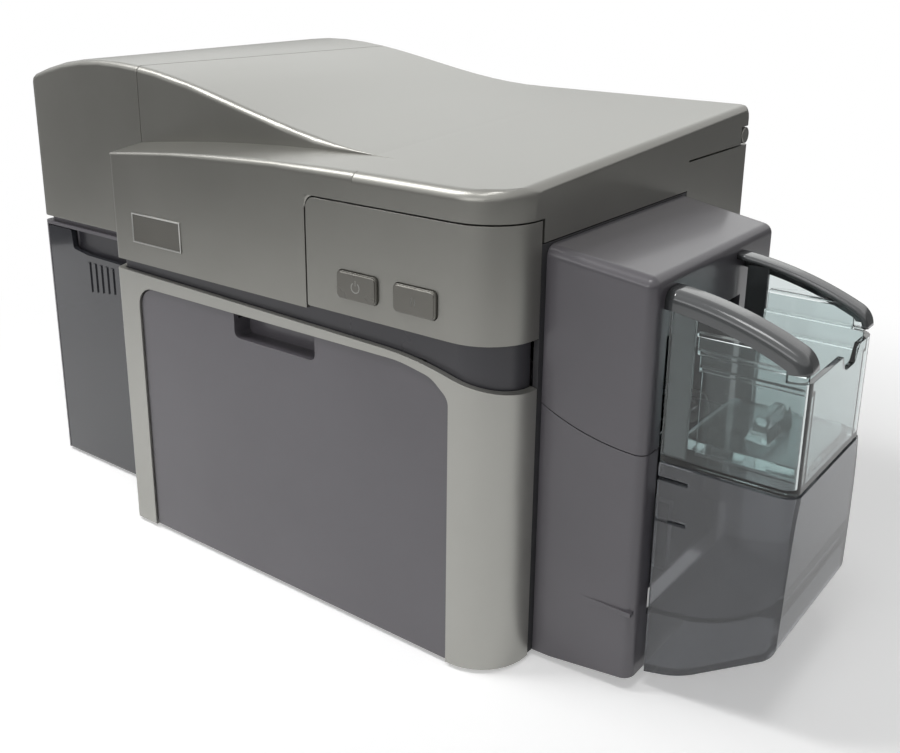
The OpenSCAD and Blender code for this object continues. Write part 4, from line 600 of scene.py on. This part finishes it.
# %% Floor's finish: an ordinary surface near the printer, plain white further out
FLOOR_GLOW = 0.34
FADE_FROM, FADE_TO = 0.28, 0.55
floor_paint = bpy.data.materials.new("floor_paint")
floor_paint.use_nodes = True
nodes, links = floor_paint.node_tree.nodes, floor_paint.node_tree.links
near = nodes["Principled BSDF"]
near.inputs["Base Color"].default_value = (0.9, 0.9, 0.9, 1)
near.inputs["Roughness"].default_value = 0.7
near.inputs["Specular IOR Level"].default_value = 0.2
near.inputs["Emission Color"].default_value = (1.0, 1.0, 1.0, 1)
far = nodes.new("ShaderNodeEmission")
place = nodes.new("ShaderNodeTexCoord")
reach = nodes.new("ShaderNodeVectorMath")
reach.operation = "LENGTH"
fade = nodes.new("ShaderNodeMapRange")
fade.interpolation_type = "SMOOTHSTEP"
fade.inputs["From Min"].default_value = FADE_FROM
fade.inputs["From Max"].default_value = FADE_TO
both = nodes.new("ShaderNodeMath")
both.operation = "MULTIPLY"
glow = nodes.new("ShaderNodeMath")
glow.operation = "MULTIPLY"
glow.inputs[1].default_value = FLOOR_GLOW
mix = nodes.new("ShaderNodeMixShader")
seen = seeing_rays(nodes, links)
links.new(place.outputs["Object"], reach.inputs[0])
links.new(reach.outputs["Value"], fade.inputs["Value"])
links.new(fade.outputs["Result"], both.inputs[0])
links.new(seen, both.inputs[1])
links.new(seen, glow.inputs[0])
links.new(glow.outputs["Value"], near.inputs["Emission Strength"])
links.new(both.outputs["Value"], mix.inputs["Fac"])
links.new(near.outputs["BSDF"], mix.inputs[1])
links.new(far.outputs["Emission"], mix.inputs[2])
links.new(mix.outputs["Shader"], nodes["Material Output"].inputs["Surface"])
floor_mesh.materials.append(floor_paint)
print("floor fades to white from", FADE_FROM, "to", FADE_TO, "m")

# %% World
AMBIENT = 0.16
world = bpy.data.worlds.new("studio")
bpy.context.scene.world = world
world.use_nodes = True
nodes, links = world.node_tree.nodes, world.node_tree.links
level = nodes.new("ShaderNodeMapRange")
level.inputs["To Min"].default_value = AMBIENT
level.inputs["To Max"].default_value = 1.0
links.new(seeing_rays(nodes, links), level.inputs["Value"])
links.new(level.outputs["Result"], nodes["Background"].inputs["Strength"])
nodes["Background"].inputs["Color"].default_value = (1.0, 1.0, 1.0, 1.0)
print("world ambient", AMBIENT)

# %% [markdown]
# Dark cards stand round the table, as a photographer puts them, so that upright faces mirror a
# white floor at the foot and a dark room at the top. Only reflections can see them. Six soft
# boxes do the rest: two wide panels light the back and the front evenly, and four small ones
# draw the bright lines along the round edges of the lid, the left cover, the housing and the
# rails. Each hangs where the edge it is for mirrors it into the camera.

# %% Dark cards
CARD_RING = 0.78
CARD_HIGH = 0.36
CARD_GREY = 0.17
work = bmesh.new()
bmesh.ops.create_circle(work, segments=64, radius=CARD_RING)
wall = bmesh.ops.extrude_edge_only(work, edges=work.edges[:])["geom"]
bmesh.ops.translate(work, vec=(0, 0, CARD_HIGH), verts=only(bmesh.types.BMVert, wall))
card_mesh = bpy.data.meshes.new("black_cards")
work.to_mesh(card_mesh)
work.free()
cards = bpy.data.objects.new("black_cards", card_mesh)
bpy.context.scene.collection.objects.link(cards)
card_black = bpy.data.materials.new("card_black")
card_black.use_nodes = True
paper = card_black.node_tree.nodes["Principled BSDF"]
paper.inputs["Base Color"].default_value = (0.0, 0.0, 0.0, 1)
paper.inputs["Roughness"].default_value = 1.0
paper.inputs["Emission Color"].default_value = (1.0, 1.0, 1.0, 1)
paper.inputs["Emission Strength"].default_value = CARD_GREY
card_mesh.materials.append(card_black)
cards.visible_camera = cards.visible_diffuse = cards.visible_shadow = False
cards.visible_transmission = False
print("dark cards at", CARD_RING, "m")


# %% Lamps
def lamp(name, place, target, width, height, brightness, tint=(1.0, 1.0, 1.0)):
    """A soft box at a place, aimed at a target. A brightness of 1 looks as bright as white."""
    light = bpy.data.lights.new(name, "AREA")
    light.shape = "RECTANGLE"
    light.size, light.size_y = width, height
    light.energy = brightness * math.pi * width * height
    light.color = tint
    box = bpy.data.objects.new(name, light)
    bpy.context.scene.collection.objects.link(box)
    box.location = place
    box.rotation_mode = "QUATERNION"
    box.rotation_quaternion = (Vector(target) - Vector(place)).to_track_quat("-Z", "Y")


lamp("back_panel", (-1.3, 1.9, 0.85), (0.0, 0.0, 0.2), 2.6, 1.4, 0.5, tint=(0.97, 1.0, 0.97))
lamp("edge_light", (-0.75, -0.45, 1.15), (0.0, 0.0, 0.2), 0.6, 0.45, 6.5)
lamp("front_panel", (0.1, -1.8, 0.6), (0.0, 0.0, 0.12), 1.3, 0.9, 2.1)
lamp("left_strip", (-0.66, -0.27, 0.16), (0.0, -0.1, 0.15), 0.05, 0.3, 1.2)
lamp("top_light", (0.32, -0.42, 1.2), (0.1, -0.02, 0.15), 0.36, 0.28, 8.0)
lamp("housing_light", (-0.41, -0.42, 1.2), (0.15, -0.09, 0.19), 0.22, 0.16, 24.0)
bpy.context.scene.view_settings.view_transform = "Standard"
print("studio lit")
